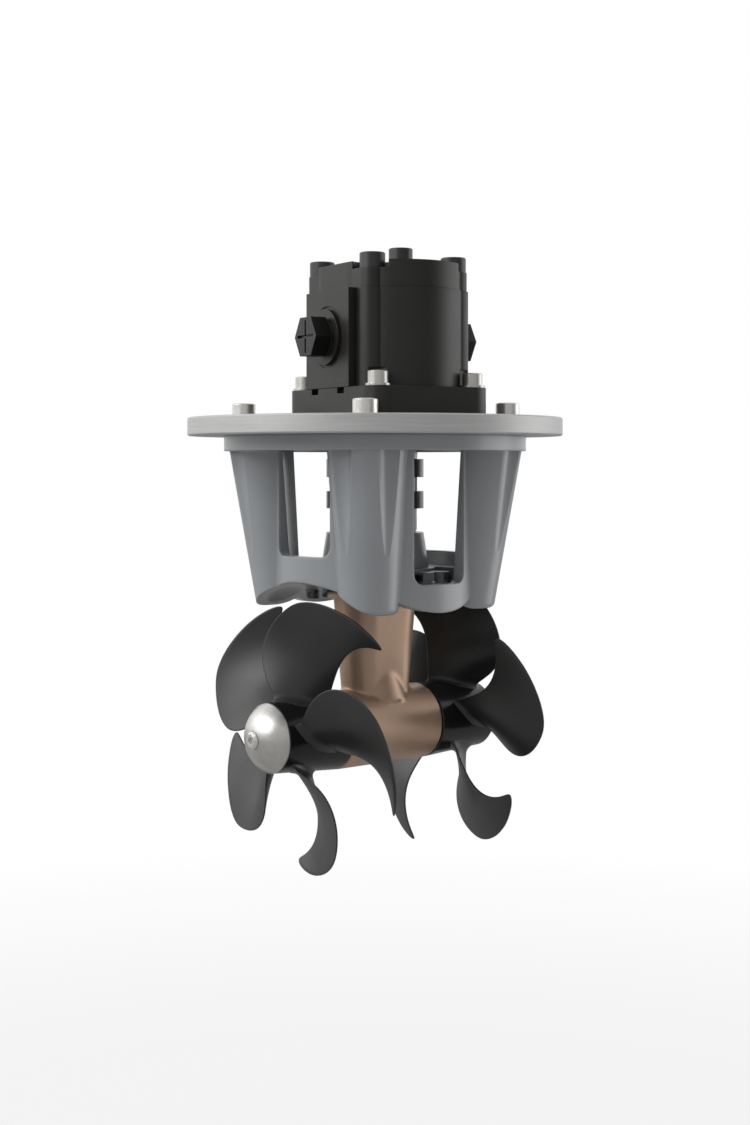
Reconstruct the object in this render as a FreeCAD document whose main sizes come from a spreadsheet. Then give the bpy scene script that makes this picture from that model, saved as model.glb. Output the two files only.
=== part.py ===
import FreeCAD, Part
import Sketcher
import math
import os

# Bow thruster for a round tunnel, in millimetres.
# Z is up along the drive axis and X runs along the propeller shaft.
# The origin is the crown of the saddle that rests on the tunnel wall.

sizes = {
    # Tunnel that the thruster is made for
    "tunnelBore": 92.5,
    "tunnelWall": 5.7,
    # Adapter plate and its bolts
    "plateRadius": 125.0,
    "plateThickness": 12.0,
    "plateEdge": 0.8,
    "pilotRadius": 22.0,
    "bracketBoltCircle": 88.5,
    "bracketBoltRadius": 5.0,
    "bracketBoltHead": 8.0,
    "bracketBoltSocket": 8.0,
    "bracketBoltGrip": 24.0,
    "boltHoleSpare": 2.0,
    # Motor bracket
    "bracketHeight": 95.2,
    "ringRadius": 100.75,
    "ringDepth": 10.1,
    "wallRadius": 66.5,
    "cavityRadius": 58.0,
    "cavityTopRadius": 64.6,
    "footDepth": 19.0,
    "lobeTopReach": 97.5,
    "lobeFootReach": 79.1,
    "lobeTopRadius": 25.5,
    "lobeFootRadius": 18.8,
    "lobeFootRound": 4.0,
    "fluteAngle": 38.0,
    "fluteTopRadius": 12.0,
    "fluteFootRadius": 8.0,
    "fluteDepth": 4.8,
    "fluteFoot": 18.0,
    "endWindowWidth": 52.6,
    "sideWindowWidth": 43.6,
    "windowOverrun": 6.0,
    "endSill": 16.6,
    "sideSill": -0.8,
    "floorTop": 7.7,
    "pedestalRadius": 40.0,
    "troughWidth": 66.0,
    "troughRadius": 57.5,
    "windowCorner": 7.0,
    "skirtArchRadius": 69.0,
    "skirtArchWidth": 80.0,
    "skirtArchStart": 40.0,
    "footBowlRadius": 26.0,
    "footBowlDepth": 3.2,
    "footHoleRadius": 3.4,
    "footHoleX": 40.6,
    "footHoleY": 22.1,
    # Bolts that hold the bracket to the tunnel
    "tunnelBoltCircle": 48.5,
    "tunnelBoltStep": 19.0,
    "tunnelBoltRadius": 4.0,
    "tunnelBoltReach": 3.0,
    "tunnelHeadAcross": 13.0,
    "tunnelHeadHeight": 5.3,
    "tunnelWasherRadius": 8.0,
    "washerThickness": 1.6,
    # Seal housing on the bracket floor
    "housingFootRadius": 36.0,
    "housingTopRadius": 32.5,
    "housingHeight": 23.3,
    "housingWall": 3.0,
    "housingRoof": 9.0,
    # Coupling between motor and drive shaft
    "couplingRadius": 32.5,
    "couplingHubRadius": 27.5,
    "couplingNeckRadius": 28.0,
    "couplingGap": 0.8,
    "neckLength": 15.3,
    "lowerFlangeDepth": 11.3,
    "elementDepth": 9.4,
    "upperFlangeDepth": 12.0,
    "upperHubLength": 12.5,
    "elementRadius": 26.5,
    "elementBore": 10.0,
    "couplingPinCircle": 29.2,
    "couplingPinRadius": 2.6,
    "couplingEdge": 1.0,
    # Drive line in the leg
    "driveShaftRadius": 6.0,
    "driveShaftEdge": 1.0,
    "driveShaftTail": 9.85,
    "driveBearingRadius": 14.0,
    "driveBearingWidth": 8.0,
    "sealRadius": 12.0,
    "sealWidth": 5.0,
    "runningFit": 0.05,
    "boreRelief": 1.0,
    "endGap": 0.3,
    # Gear leg
    "legFlangeRadius": 32.0,
    "legFlangeThickness": 3.0,
    "gasketThickness": 1.5,
    "legNeckRadius": 26.5,
    "neckRise": 2.0,
    "stemTopLength": 31.0,
    "stemTopWidth": 18.0,
    "stemFootLength": 22.9,
    "stemFootWidth": 12.8,
    "torpedoRadius": 25.4,
    "torpedoHalfLength": 38.9,
    "torpedoEdge": 1.2,
    "bulgeRadius": 21.0,
    "bulgeTopRadius": 13.6,
    "bulgeStart": 18.0,
    "bulgeTop": 42.0,
    "legBoltCircle": 20.5,
    "legBoltRadius": 3.0,
    "legBoltHead": 5.0,
    "legBoltSocket": 5.0,
    "legBoltDepth": 11.0,
    # Propeller shaft, its bearings and covers
    "propellerShaftRadius": 8.5,
    "propellerBearingRadius": 20.0,
    "propellerBearingWidth": 10.0,
    "bearingCoverThickness": 6.0,
    # Bevel pair
    "gearModule": 1.85,
    "gearTeeth": 20,
    "pinionTeeth": 14,
    "gearFaceWidth": 7.0,
    "gearHubLength": 4.0,
    "gearHubStep": 2.0,
    "gearBacklash": 0.22,
    "toothAddendum": 0.8,
    "toothDedendum": 1.1,
    "toothPressureAngle": 20.0,
    # Propellers
    "hubLength": 50.5,
    "hubRootRadius": 25.2,
    "hubEndRadius": 22.4,
    "hubGap": 0.6,
    "nutPocketDepth": 13.0,
    "nutPocketRadius": 12.5,
    "bladeCount": 5,
    "bladeTipRadius": 90.5,
    "bladeStation": 68.1,
    "bladeFirstAngle": 16.7,
    "bladeRootChord": 31.2,
    "bladeMidChord": 56.0,
    "bladeTipChord": 71.0,
    "bladeRootPitch": 34.9,
    "bladeTipPitch": 29.5,
    "bladeMidSkew": -10.6,
    "bladeTipSkew": 14.5,
    "bladeMidRake": -1.1,
    "bladeTipRake": -7.7,
    "bladeRootThickness": 6.0,
    "bladeTipThickness": 2.4,
    "bladeEdgeThickness": 1.1,
    "bladeTipRound": 12.5,
    "bladeBuried": 3.5,
    "farPropellerTurn": 49.3,
    "drivePinRadius": 2.5,
    "drivePinHalfLength": 15.0,
    "drivePinStation": 44.5,
    "threadRadius": 6.0,
    "threadInset": 1.5,
    "pinSlotSpare": 0.3,
    "nutAcross": 19.0,
    "nutHeight": 8.0,
    # Anodes
    "anodeHeight": 13.0,
    "anodeScrewRadius": 3.0,
    "anodeScrewHead": 5.6,
    "anodeScrewTop": 3.9,
    "anodeScrewSocket": 4.0,
    "anodeScrewHeadHeight": 3.4,
    "anodeScrewDepth": 10.0,
    # Motor, in its own turned frame
    "motorTurn": -10.5,
    "gearCentres": 31.4,
    "flangeLong": 118.0,
    "flangeWide": 90.0,
    "flangeThickness": 18.5,
    "flangeCorner": 13.0,
    "flangeHoleLong": 96.2,
    "flangeHoleWide": 71.4,
    "flangeScrewRadius": 4.0,
    "flangeScrewHead": 6.5,
    "flangeScrewSocket": 6.0,
    "flangeScrewDepth": 10.0,
    "flangeWasherRadius": 8.0,
    "pilotDepth": 5.0,
    "bodyRadius": 40.8,
    "bodyLugRadius": 9.7,
    "screwPocketRadius": 8.5,
    "screwPocketHeight": 12.0,
    "bodyHeight": 63.2,
    "portFaceWidth": 56.0,
    "portFaceReach": 45.5,
    "portHeight": 51.4,
    "pryWidth": 9.0,
    "pryHeight": 4.0,
    "pryDepth": 4.0,
    "prySpread": 34.0,
    "portRadius": 10.0,
    "portCollarRadius": 18.2,
    "portCollarHeight": 2.4,
    "portGrooveRadius": 20.0,
    "portGrooveDepth": 0.8,
    "plugBarrelRadius": 12.0,
    "plugBarrelLength": 1.0,
    "plugAcross": 25.0,
    "plugHexLength": 11.1,
    "plugThreadLength": 12.0,
    "plugSlotWidth": 1.8,
    "plugSlotLength": 21.0,
    "plugSealThickness": 1.5,
    "plugSealRadius": 12.4,
    "coverRadius": 40.0,
    "coverHeight": 12.3,
    "coverRise": 5.0,
    "coverLugRadius": 8.8,
    "coverPocketRadius": 13.5,
    "coverScrewLong": 66.0,
    "coverScrewWide": 61.5,
    "coverScrewRadius": 5.0,
    "coverScrewHead": 8.25,
    "coverScrewSocket": 8.0,
    "coverScrewDepth": 26.0,
    "raisedScrewBoss": 13.2,
    "motorGearTeeth": 14,
    "motorGearClearance": 0.08,
    "motorGearBacklash": 0.06,
    "bushLength": 14.0,
    "journalRadius": 9.0,
    "motorShaftRadius": 8.0,
    "motorSealRadius": 14.0,
}

doc = FreeCAD.newDocument("BowThruster")
sheet = doc.addObject("Spreadsheet::Sheet", "Sizes")
for row, (word, number) in enumerate(sizes.items(), start=1):
    sheet.set("A%d" % row, word)
    sheet.set("B%d" % row, str(number))
    sheet.setAlias("B%d" % row, word)
doc.recompute()


class Size:
    # A length that carries both its formula for the sheet and its number.
    def __init__(self, text, value):
        self.text = text
        self.value = value

    def __add__(self, other):
        other = asSize(other)
        return Size("(%s + %s)" % (self.text, other.text), self.value + other.value)

    def __sub__(self, other):
        other = asSize(other)
        return Size("(%s - %s)" % (self.text, other.text), self.value - other.value)

    def __mul__(self, other):
        other = asSize(other)
        return Size("(%s * %s)" % (self.text, other.text), self.value * other.value)

    def __truediv__(self, other):
        other = asSize(other)
        return Size("(%s / %s)" % (self.text, other.text), self.value / other.value)

    def __neg__(self):
        return self * -1


def asSize(item):
    return item if isinstance(item, Size) else Size("(%s)" % float(item), float(item))


def get(word):
    return Size("Sizes." + word, float(sheet.get(word)))


def number(word):
    return float(sheet.get(word))


def bind(item, prop, size):
    item.setExpression(prop, asSize(size).text)


def place(item, x=0, y=0, z=0, turn=None):
    if turn is not None:
        item.Placement = FreeCAD.Placement(FreeCAD.Vector(), turn)
    for letter, size in (("x", x), ("y", y), ("z", z)):
        bind(item, "Placement.Base." + letter, size)
    return item


AXIS_X = FreeCAD.Vector(1, 0, 0)
AXIS_Y = FreeCAD.Vector(0, 1, 0)
AXIS_Z = FreeCAD.Vector(0, 0, 1)
alongX = FreeCAD.Rotation(AXIS_Y, 90)
alongMinusX = FreeCAD.Rotation(AXIS_Y, -90)
alongY = FreeCAD.Rotation(AXIS_X, -90)


def cylinder(radius, height, x=0, y=0, z=0, turn=None):
    item = doc.addObject("Part::Cylinder", "Cylinder")
    bind(item, "Radius", radius)
    bind(item, "Height", height)
    return place(item, x, y, z, turn)


def cone(lowRadius, highRadius, height, x=0, y=0, z=0, turn=None):
    item = doc.addObject("Part::Cone", "Cone")
    bind(item, "Radius1", lowRadius)
    bind(item, "Radius2", highRadius)
    bind(item, "Height", height)
    return place(item, x, y, z, turn)


def box(lengthX, lengthY, lengthZ, x=0, y=0, z=0):
    # Centred on x and y, standing on z.
    item = doc.addObject("Part::Box", "Box")
    bind(item, "Length", lengthX)
    bind(item, "Width", lengthY)
    bind(item, "Height", lengthZ)
    return place(item, asSize(x) - asSize(lengthX) / 2, asSize(y) - asSize(lengthY) / 2, z)


def hexagon(across, height, x=0, y=0, z=0, turn=None):
    item = doc.addObject("Part::Prism", "Hexagon")
    item.Polygon = 6
    bind(item, "Circumradius", asSize(across) / math.sqrt(3))
    bind(item, "Height", height)
    return place(item, x, y, z, turn)


def sphere(radius, x=0, y=0, z=0):
    item = doc.addObject("Part::Sphere", "Sphere")
    bind(item, "Radius", radius)
    return place(item, x, y, z)


def fuse(*items):
    item = doc.addObject("Part::MultiFuse", "Fuse")
    item.Shapes = list(items)
    item.Refine = True
    return item


def cut(base, *tools):
    item = doc.addObject("Part::Cut", "Cut")
    item.Base = base
    item.Tool = tools[0] if len(tools) == 1 else fuse(*tools)
    item.Refine = True
    return item


def common(first, second):
    item = doc.addObject("Part::Common", "Common")
    item.Base = first
    item.Tool = second
    return item


def group(items):
    item = doc.addObject("Part::Compound", "Group")
    item.Links = items
    return item


def rounded(base, radius, wanted):
    # Fillets each edge that the wanted function picks.
    doc.recompute()
    item = doc.addObject("Part::Fillet", "Rounded")
    item.Base = base
    edges = enumerate(base.Shape.Edges, start=1)
    item.Edges = [(index, radius, radius) for index, edge in edges if wanted(edge)]
    return item


def chamfered(base, length, wanted):
    doc.recompute()
    item = doc.addObject("Part::Chamfer", "Chamfered")
    item.Base = base
    edges = enumerate(base.Shape.Edges, start=1)
    item.Edges = [(index, length, length) for index, edge in edges if wanted(edge)]
    return item


def isCircleAt(radius, height):
    # Picks whole circles of one radius on one level.
    def wanted(edge):
        if not isinstance(edge.Curve, Part.Circle):
            return False
        return abs(edge.Curve.Radius - radius) < 0.01 and abs(edge.Curve.Center.z - height) < 0.01
    return wanted


def isUpright(edge):
    if not isinstance(edge.Curve, Part.Line):
        return False
    return abs(edge.Curve.Direction.z) > 0.999


parts = []


def finish(item, label):
    item.Label = label
    parts.append(item)
    return item


def turned(label, profile, x=0, y=0, z=0, turn=None):
    # A body of revolution: the profile is a closed list of (radius, height) corners.
    body = doc.addObject("PartDesign::Body", "Body")
    plane = [item for item in body.Origin.OriginFeatures if item.Role == "XZ_Plane"][0]
    sketch = body.newObject("Sketcher::SketchObject", "Profile")
    sketch.AttachmentSupport = [(plane, "")]
    sketch.MapMode = "FlatFace"
    corners = [(asSize(radius), asSize(height)) for radius, height in profile]
    count = len(corners)
    points = [FreeCAD.Vector(radius.value, height.value, 0) for radius, height in corners]
    for index in range(count):
        sketch.addGeometry(Part.LineSegment(points[index], points[(index + 1) % count]), False)
    for index in range(count):
        sketch.addConstraint(Sketcher.Constraint("Coincident", index, 2, (index + 1) % count, 1))
    for index, (radius, height) in enumerate(corners):
        for kind, size in (("DistanceX", radius), ("DistanceY", height)):
            name = "%s%d" % (kind, index)
            sketch.addConstraint(Sketcher.Constraint(kind, -1, 1, index, 1, size.value))
            sketch.renameConstraint(sketch.ConstraintCount - 1, name)
            sketch.setExpression("Constraints." + name, size.text)
    revolution = body.newObject("PartDesign::Revolution", "Revolution")
    revolution.Profile = sketch
    revolution.ReferenceAxis = (sketch, ["V_Axis"])
    revolution.Angle = 360
    place(body, x, y, z, turn)
    if label:
        finish(body, label)
    return body


def ring(label, outer, inner, length, x=0, y=0, z=0, turn=None):
    return turned(label, [(inner, 0), (outer, 0), (outer, length), (inner, length)], x, y, z, turn)


saddleRadius = get("tunnelBore") + get("tunnelWall")
shaftZ = -saddleRadius
plateBottom = get("bracketHeight")
plateTop = plateBottom + get("plateThickness")
ringBottom = plateBottom - get("ringDepth")
housingTop = get("floorTop") + get("housingHeight")
neckBottom = housingTop + get("couplingGap")
lowerFlangeBottom = neckBottom + get("neckLength")
elementBottom = lowerFlangeBottom + get("lowerFlangeDepth")
upperFlangeBottom = elementBottom + get("elementDepth")
upperFlangeTop = upperFlangeBottom + get("upperFlangeDepth")
fit = get("runningFit")


def socketScrew(shankRadius, headRadius, headHeight, length, socketAcross, x, y, z, turn=None):
    # The point given is the seat of the head; the shank runs away from the head.
    headUp = turn is None
    head = cylinder(headRadius, headHeight, x, y, z)
    shank = cylinder(shankRadius, length, x, y, asSize(z) - length)
    socket = hexagon(socketAcross, asSize(headHeight) / 2, x, y, asSize(z) + asSize(headHeight) / 2)
    return cut(fuse(head, shank), socket) if headUp else fuse(head, shank)


def onCircle(radius, angles):
    # Points on a circle about the drive axis, with the angle measured from the X axis.
    for angle in angles:
        turn = math.radians(angle)
        yield asSize(radius) * math.cos(turn), asSize(radius) * math.sin(turn)


lobeAngles = (45, 135, 225, 315)
step = number("tunnelBoltStep")
tunnelBoltAngles = [side + shift for side in (90, 270) for shift in (-step, 0, step)]


def adapterPlate():
    plate = cylinder(get("plateRadius"), get("plateThickness"), z=plateBottom)
    holes = [cylinder(get("pilotRadius"), get("plateThickness"), z=plateBottom)]
    for x, y in onCircle(get("bracketBoltCircle"), lobeAngles):
        holes.append(cylinder(get("bracketBoltRadius") + fit, get("plateThickness"), x, y, plateBottom))
    holes.append(motorTurned(group(flangeScrewHoles(plateTop - get("plateThickness"),
                                                    get("plateThickness")))))
    plate = cut(plate, *holes)
    radius = number("plateRadius")
    low, high = plateBottom.value, plateTop.value
    edge = chamfered(plate, number("plateEdge"),
                     lambda e: isCircleAt(radius, low)(e) or isCircleAt(radius, high)(e))
    finish(edge, "adapter_plate")


def flangeCorners():
    for sideX in (-1, 1):
        for sideY in (-1, 1):
            yield (get("flangeHoleWide") / 2 * sideX,
                   get("flangeHoleLong") / 2 * sideY - get("gearCentres") / 2)


def flangeScrewHoles(z, depth):
    return [cylinder(get("flangeScrewRadius") + fit, depth, x, y, z) for x, y in flangeCorners()]


def motorTurned(item):
    # The motor sits turned about the drive axis.
    item.Placement = FreeCAD.Placement(FreeCAD.Vector(), FreeCAD.Rotation(AXIS_Z, number("motorTurn")))
    item.setExpression("Placement.Rotation.Angle", "Sizes.motorTurn")
    return item


def leaningLobe(angle):
    # A cone that leans outwards, from the foot up into the ring.
    foot = get("lobeFootReach") - get("lobeFootRadius")
    top = get("lobeTopReach") - get("lobeTopRadius")
    height = ringBottom + get("footDepth")
    lean = math.atan2(top.value - foot.value, height.value)
    spare = 0.1
    growth = (get("lobeTopRadius") - get("lobeFootRadius")) * spare
    length = height / math.cos(lean)
    shift = (top - foot) * spare
    turn = math.radians(angle)
    reach = foot - shift
    post = cone(get("lobeFootRadius") - growth, get("lobeTopRadius") + growth, length * (1 + 2 * spare),
                reach * math.cos(turn), reach * math.sin(turn), -get("footDepth") - height * spare,
                FreeCAD.Rotation(AXIS_Z, angle).multiply(FreeCAD.Rotation(AXIS_Y, math.degrees(lean))))
    slab = cylinder(get("ringRadius"), height + get("ringDepth") / 2, z=-get("footDepth"))
    low = -number("footDepth")
    lobe = rounded(common(post, slab), number("lobeFootRound"),
                   lambda edge: abs(edge.BoundBox.ZMax - low) < 0.01)
    return cut(lobe, tunnelWall())


def tunnelWall():
    # The outside of the tunnel that the bracket sits on.
    return cylinder(saddleRadius, get("ringRadius") * 2, x=-get("ringRadius"), z=shaftZ, turn=alongX)


def leaningFlute(angle, offset):
    # A groove down one flank of a lobe, deep at the ring and fading out above the foot.
    height = ringBottom + get("footDepth")
    share = ((get("fluteFoot") + get("footDepth")) / height).value
    turn = math.radians(angle)
    flank = math.radians(angle + offset.value)
    ends = []
    for at, radius, depth, z in ((share, get("fluteFootRadius"), 0, get("fluteFoot")),
                                 (1, get("fluteTopRadius"), get("fluteDepth"), ringBottom)):
        lobeRadius = get("lobeFootRadius") * (1 - at) + get("lobeTopRadius") * at
        reach = get("lobeFootReach") * (1 - at) + get("lobeTopReach") * at - lobeRadius
        away = lobeRadius + radius - depth
        ends.append(FreeCAD.Vector(reach.value * math.cos(turn) + away.value * math.cos(flank),
                                   reach.value * math.sin(turn) + away.value * math.sin(flank), z.value))
    along = ends[1] - ends[0]
    item = doc.addObject("Part::Feature", "Flute")
    item.Shape = Part.makeCone(number("fluteFootRadius"), number("fluteTopRadius"), along.Length,
                               ends[0], along)
    return item


def window(sideX, sideY, sill):
    # A channel with rounded lower corners, cut from outside the lobes into the cavity.
    width = get("endWindowWidth") if sideX else get("sideWindowWidth")
    inner = get("cavityRadius") - get("windowOverrun")
    depth = get("ringRadius") - inner
    reach = inner + depth / 2
    height = ringBottom - sill
    lengthX = depth if sideX else width
    lengthY = depth if sideY else width
    channel = box(lengthX, lengthY, height, reach * sideX, reach * sideY, sill)
    low = asSize(sill).value

    def wanted(edge):
        if not isinstance(edge.Curve, Part.Line):
            return False
        along = edge.Curve.Direction.x if sideX else edge.Curve.Direction.y
        return abs(along) > 0.999 and abs(edge.CenterOfMass.z - low) < 0.01
    return rounded(channel, number("windowCorner"), wanted)


def skirtArch(side):
    # What is cut away under the front or back skirt, so that its lower edge is an arc.
    width = get("skirtArchWidth")
    start = get("skirtArchStart")
    radius = get("skirtArchRadius")
    low = -get("footDepth")
    reach = get("wallRadius") - start + 1
    slab = box(width, reach, get("footDepth") / 2, y=(start + reach / 2) * side, z=low)
    return cut(slab, cylinder(radius, get("wallRadius") * 2 + 4, y=-get("wallRadius") - 2, z=low + radius,
                              turn=alongY))


def footBowl(angle):
    # A shallow hollow under a lobe, square to the tunnel's wall.
    reach = get("lobeFootReach") - get("lobeFootRadius")
    x = reach * math.cos(math.radians(angle))
    y = reach * math.sin(math.radians(angle))
    lean = math.asin((y / saddleRadius).value)
    away = saddleRadius - get("footBowlRadius") + get("footBowlDepth")
    return sphere(get("footBowlRadius"), x=x, y=away * math.sin(lean), z=shaftZ + away * math.cos(lean))


def motorBracket():
    wall = cylinder(get("wallRadius"), plateBottom + get("footDepth"), z=-get("footDepth"))
    wall = cut(wall, tunnelWall(), skirtArch(1), skirtArch(-1))
    ring = cylinder(get("ringRadius"), get("ringDepth"), z=ringBottom)
    outer = fuse(wall, ring, *[leaningLobe(angle) for angle in lobeAngles])
    cavity = cone(get("cavityRadius"), get("cavityTopRadius"), plateBottom - get("floorTop"),
                  z=get("floorTop"))
    troughDepth = get("floorTop") - get("sideSill")
    trough = common(cut(cylinder(get("troughRadius"), troughDepth, z=get("sideSill")),
                        cylinder(get("pedestalRadius"), troughDepth, z=get("sideSill"))),
                    box(get("troughWidth"), get("troughRadius") * 2, troughDepth, z=get("sideSill")))
    neckBore = cylinder(get("legNeckRadius") + fit, get("neckRise") + get("footDepth"), z=-get("footDepth"))
    shaftBore = cylinder(get("driveBearingRadius") + get("boreRelief"), get("floorTop") + get("footDepth"),
                         z=-get("footDepth"))
    tools = [cavity, trough, neckBore, shaftBore]
    for sideX, sideY, sill in ((1, 0, get("endSill")), (-1, 0, get("endSill")),
                               (0, 1, get("sideSill")), (0, -1, get("sideSill"))):
        tools.append(window(sideX, sideY, sill))
    for x, y in onCircle(get("bracketBoltCircle"), lobeAngles):
        depth = get("bracketBoltGrip") + get("boltHoleSpare")
        tools.append(cylinder(get("bracketBoltRadius") + fit, depth, x, y, plateBottom - depth))
    for x, y in onCircle(get("tunnelBoltCircle"), tunnelBoltAngles):
        tools.append(cylinder(get("tunnelBoltRadius") + fit, get("floorTop") + get("footDepth"), x, y,
                              -get("footDepth")))
    for x, y in onCircle(get("legBoltCircle"), lobeAngles):
        tools.append(cylinder(get("legBoltRadius") + fit, get("floorTop") + get("footDepth"), x, y,
                              -get("footDepth")))
    for sideX in (-1, 1):
        for sideY in (-1, 1):
            tools.append(cylinder(get("footHoleRadius"), get("floorTop") + get("footDepth"),
                                  get("footHoleX") * sideX, get("footHoleY") * sideY, -get("footDepth")))
    tools += [footBowl(angle) for angle in lobeAngles]
    tools += [leaningFlute(angle, get("fluteAngle") * side) for angle in lobeAngles for side in (-1, 1)]
    for tool in tools:
        outer = cut(outer, tool)
    finish(outer, "motor_bracket")


def bracketBolts():
    bolts = []
    radius = get("bracketBoltRadius")
    for x, y in onCircle(get("bracketBoltCircle"), lobeAngles):
        bolts.append(socketScrew(radius, get("bracketBoltHead"), radius * 2,
                                 get("plateThickness") + get("bracketBoltGrip"),
                                 get("bracketBoltSocket"), x, y, plateTop))
    finish(group(bolts), "bracket_bolts")


def tunnelBolts():
    bolts = []
    washers = []
    seat = get("sideSill") + get("washerThickness")
    for x, y in onCircle(get("tunnelBoltCircle"), tunnelBoltAngles):
        depth = saddleRadius - math.sqrt(saddleRadius.value ** 2 - y.value ** 2)
        length = seat + depth + get("tunnelBoltReach")
        head = hexagon(get("tunnelHeadAcross"), get("tunnelHeadHeight"), x, y, seat)
        bolts.append(fuse(head, cylinder(get("tunnelBoltRadius"), length, x, y, seat - length)))
        disc = cylinder(get("tunnelWasherRadius"), get("washerThickness"), x, y, get("sideSill"))
        washers.append(cut(disc, cylinder(get("tunnelBoltRadius") + fit, get("washerThickness"),
                                          x, y, get("sideSill"))))
    finish(group(bolts), "tunnel_bolts")
    finish(group(washers), "tunnel_washers")


def sealHousing():
    floor = get("floorTop")
    bore = get("driveShaftRadius") + get("boreRelief")
    seat = get("sealRadius") + fit
    wall = get("housingWall")
    roof = housingTop - get("housingRoof")
    sealTop = roof + get("sealWidth")
    profile = [(get("housingFootRadius"), floor), (get("housingTopRadius"), housingTop),
               (bore, housingTop), (bore, sealTop), (seat, sealTop), (seat, roof),
               (get("housingTopRadius") - wall, roof), (get("housingFootRadius") - wall, floor)]
    turned("seal_housing", profile)
    ring("drive_shaft_seal", get("sealRadius"), get("driveShaftRadius") + fit, get("sealWidth"), z=roof)


def legBolts():
    bolts = []
    radius = get("legBoltRadius")
    length = get("floorTop") - get("neckRise") + get("legBoltDepth")
    for x, y in onCircle(get("legBoltCircle"), lobeAngles):
        bolts.append(socketScrew(radius, get("legBoltHead"), radius * 2, length, get("legBoltSocket"), x, y,
                                 get("floorTop")))
    finish(group(bolts), "leg_bolts")


def slotLoft(lowLength, lowWidth, lowZ, highLength, highWidth, highZ):
    # A solid between two rounded slots that lie along X.
    wires = []
    for length, width, z in ((lowLength, lowWidth, lowZ), (highLength, highWidth, highZ)):
        half = length - width
        corners = [FreeCAD.Vector(-half, -width, z), FreeCAD.Vector(half, -width, z),
                   FreeCAD.Vector(half + width, 0, z), FreeCAD.Vector(half, width, z),
                   FreeCAD.Vector(-half, width, z), FreeCAD.Vector(-half - width, 0, z)]
        edges = [Part.LineSegment(corners[0], corners[1]).toShape(),
                 Part.Arc(corners[1], corners[2], corners[3]).toShape(),
                 Part.LineSegment(corners[3], corners[4]).toShape(),
                 Part.Arc(corners[4], corners[5], corners[0]).toShape()]
        wires.append(Part.Wire(edges))
    item = doc.addObject("Part::Feature", "SlotLoft")
    item.Shape = Part.makeLoft(wires, True, True)
    return item


def gearLeg():
    flangeTop = get("tunnelBore") - get("gasketThickness")
    long = get("legFlangeRadius") * 2
    shell = cut(cylinder(flangeTop, long, x=-get("legFlangeRadius"), z=shaftZ, turn=alongX),
                cylinder(flangeTop - get("legFlangeThickness"), long, x=-get("legFlangeRadius"),
                         z=shaftZ, turn=alongX))
    flange = common(shell, cylinder(get("legFlangeRadius"), get("tunnelBore"),
                                    z=shaftZ + get("torpedoRadius")))
    neck = cylinder(get("legNeckRadius"), get("neckRise") + get("gasketThickness") + get("tunnelWall")
                    + get("legFlangeThickness"),
                    z=-get("gasketThickness") - get("tunnelWall") - get("legFlangeThickness"))
    stem = slotLoft(number("stemFootLength"), number("stemFootWidth"), shaftZ.value,
                    number("stemTopLength"), number("stemTopWidth"), -number("footDepth") / 2)
    bulge = cone(get("bulgeRadius"), get("bulgeTopRadius"), get("bulgeTop") - get("bulgeStart"),
                 z=shaftZ + get("bulgeStart"))
    torpedo = cylinder(get("torpedoRadius"), get("torpedoHalfLength") * 2,
                       x=-get("torpedoHalfLength"), z=shaftZ, turn=alongX)
    ends = (number("torpedoHalfLength"), -number("torpedoHalfLength"))
    torpedo = chamfered(torpedo, number("torpedoEdge"),
                        lambda edge: isinstance(edge.Curve, Part.Circle) and
                        min(abs(edge.Curve.Center.x - end) for end in ends) < 0.01)
    casting = fuse(flange, neck, stem, bulge, torpedo)
    bearingBore = get("propellerBearingRadius") + fit
    tools = [cylinder(bearingBore, get("torpedoHalfLength") * 2, x=-get("torpedoHalfLength"),
                      z=shaftZ, turn=alongX),
             cylinder(get("driveShaftRadius") + get("boreRelief"), saddleRadius + get("neckRise"), z=shaftZ),
             cylinder(pinionPitch + get("gearModule") + get("endGap"), lowBearingZ - shaftZ, z=shaftZ),
             cylinder(get("driveBearingRadius") + fit, get("driveBearingWidth"), z=lowBearingZ),
             cylinder(get("driveBearingRadius") + fit, get("driveBearingWidth"),
                      z=get("neckRise") - get("driveBearingWidth"))]
    for x, y in onCircle(get("legBoltCircle"), lobeAngles):
        tools.append(cylinder(get("legBoltRadius") + fit, get("legBoltDepth"), x, y,
                              get("neckRise") - get("legBoltDepth")))
    finish(cut(casting, *tools), "gear_leg")
    ring = cut(cylinder(get("legFlangeRadius"), get("tunnelBore"), z=shaftZ + get("torpedoRadius")),
               cylinder(get("legNeckRadius") + fit, get("tunnelBore"), z=shaftZ + get("torpedoRadius")))
    skin = cut(cylinder(get("tunnelBore"), long, x=-get("legFlangeRadius"), z=shaftZ, turn=alongX),
               cylinder(flangeTop, long, x=-get("legFlangeRadius"), z=shaftZ, turn=alongX))
    finish(common(skin, ring), "leg_gasket")


gearPitch = get("gearModule") * get("gearTeeth") / 2
pinionPitch = get("gearModule") * get("pinionTeeth") / 2
lowBearingZ = shaftZ + gearPitch + get("gearHubLength") + get("endGap")


def driveBearings():
    inner = get("driveShaftRadius") + fit
    ring("upper_drive_bearing", get("driveBearingRadius"), inner, get("driveBearingWidth"),
         z=get("neckRise") - get("driveBearingWidth"))
    ring("lower_drive_bearing", get("driveBearingRadius"), inner, get("driveBearingWidth"), z=lowBearingZ)


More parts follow.
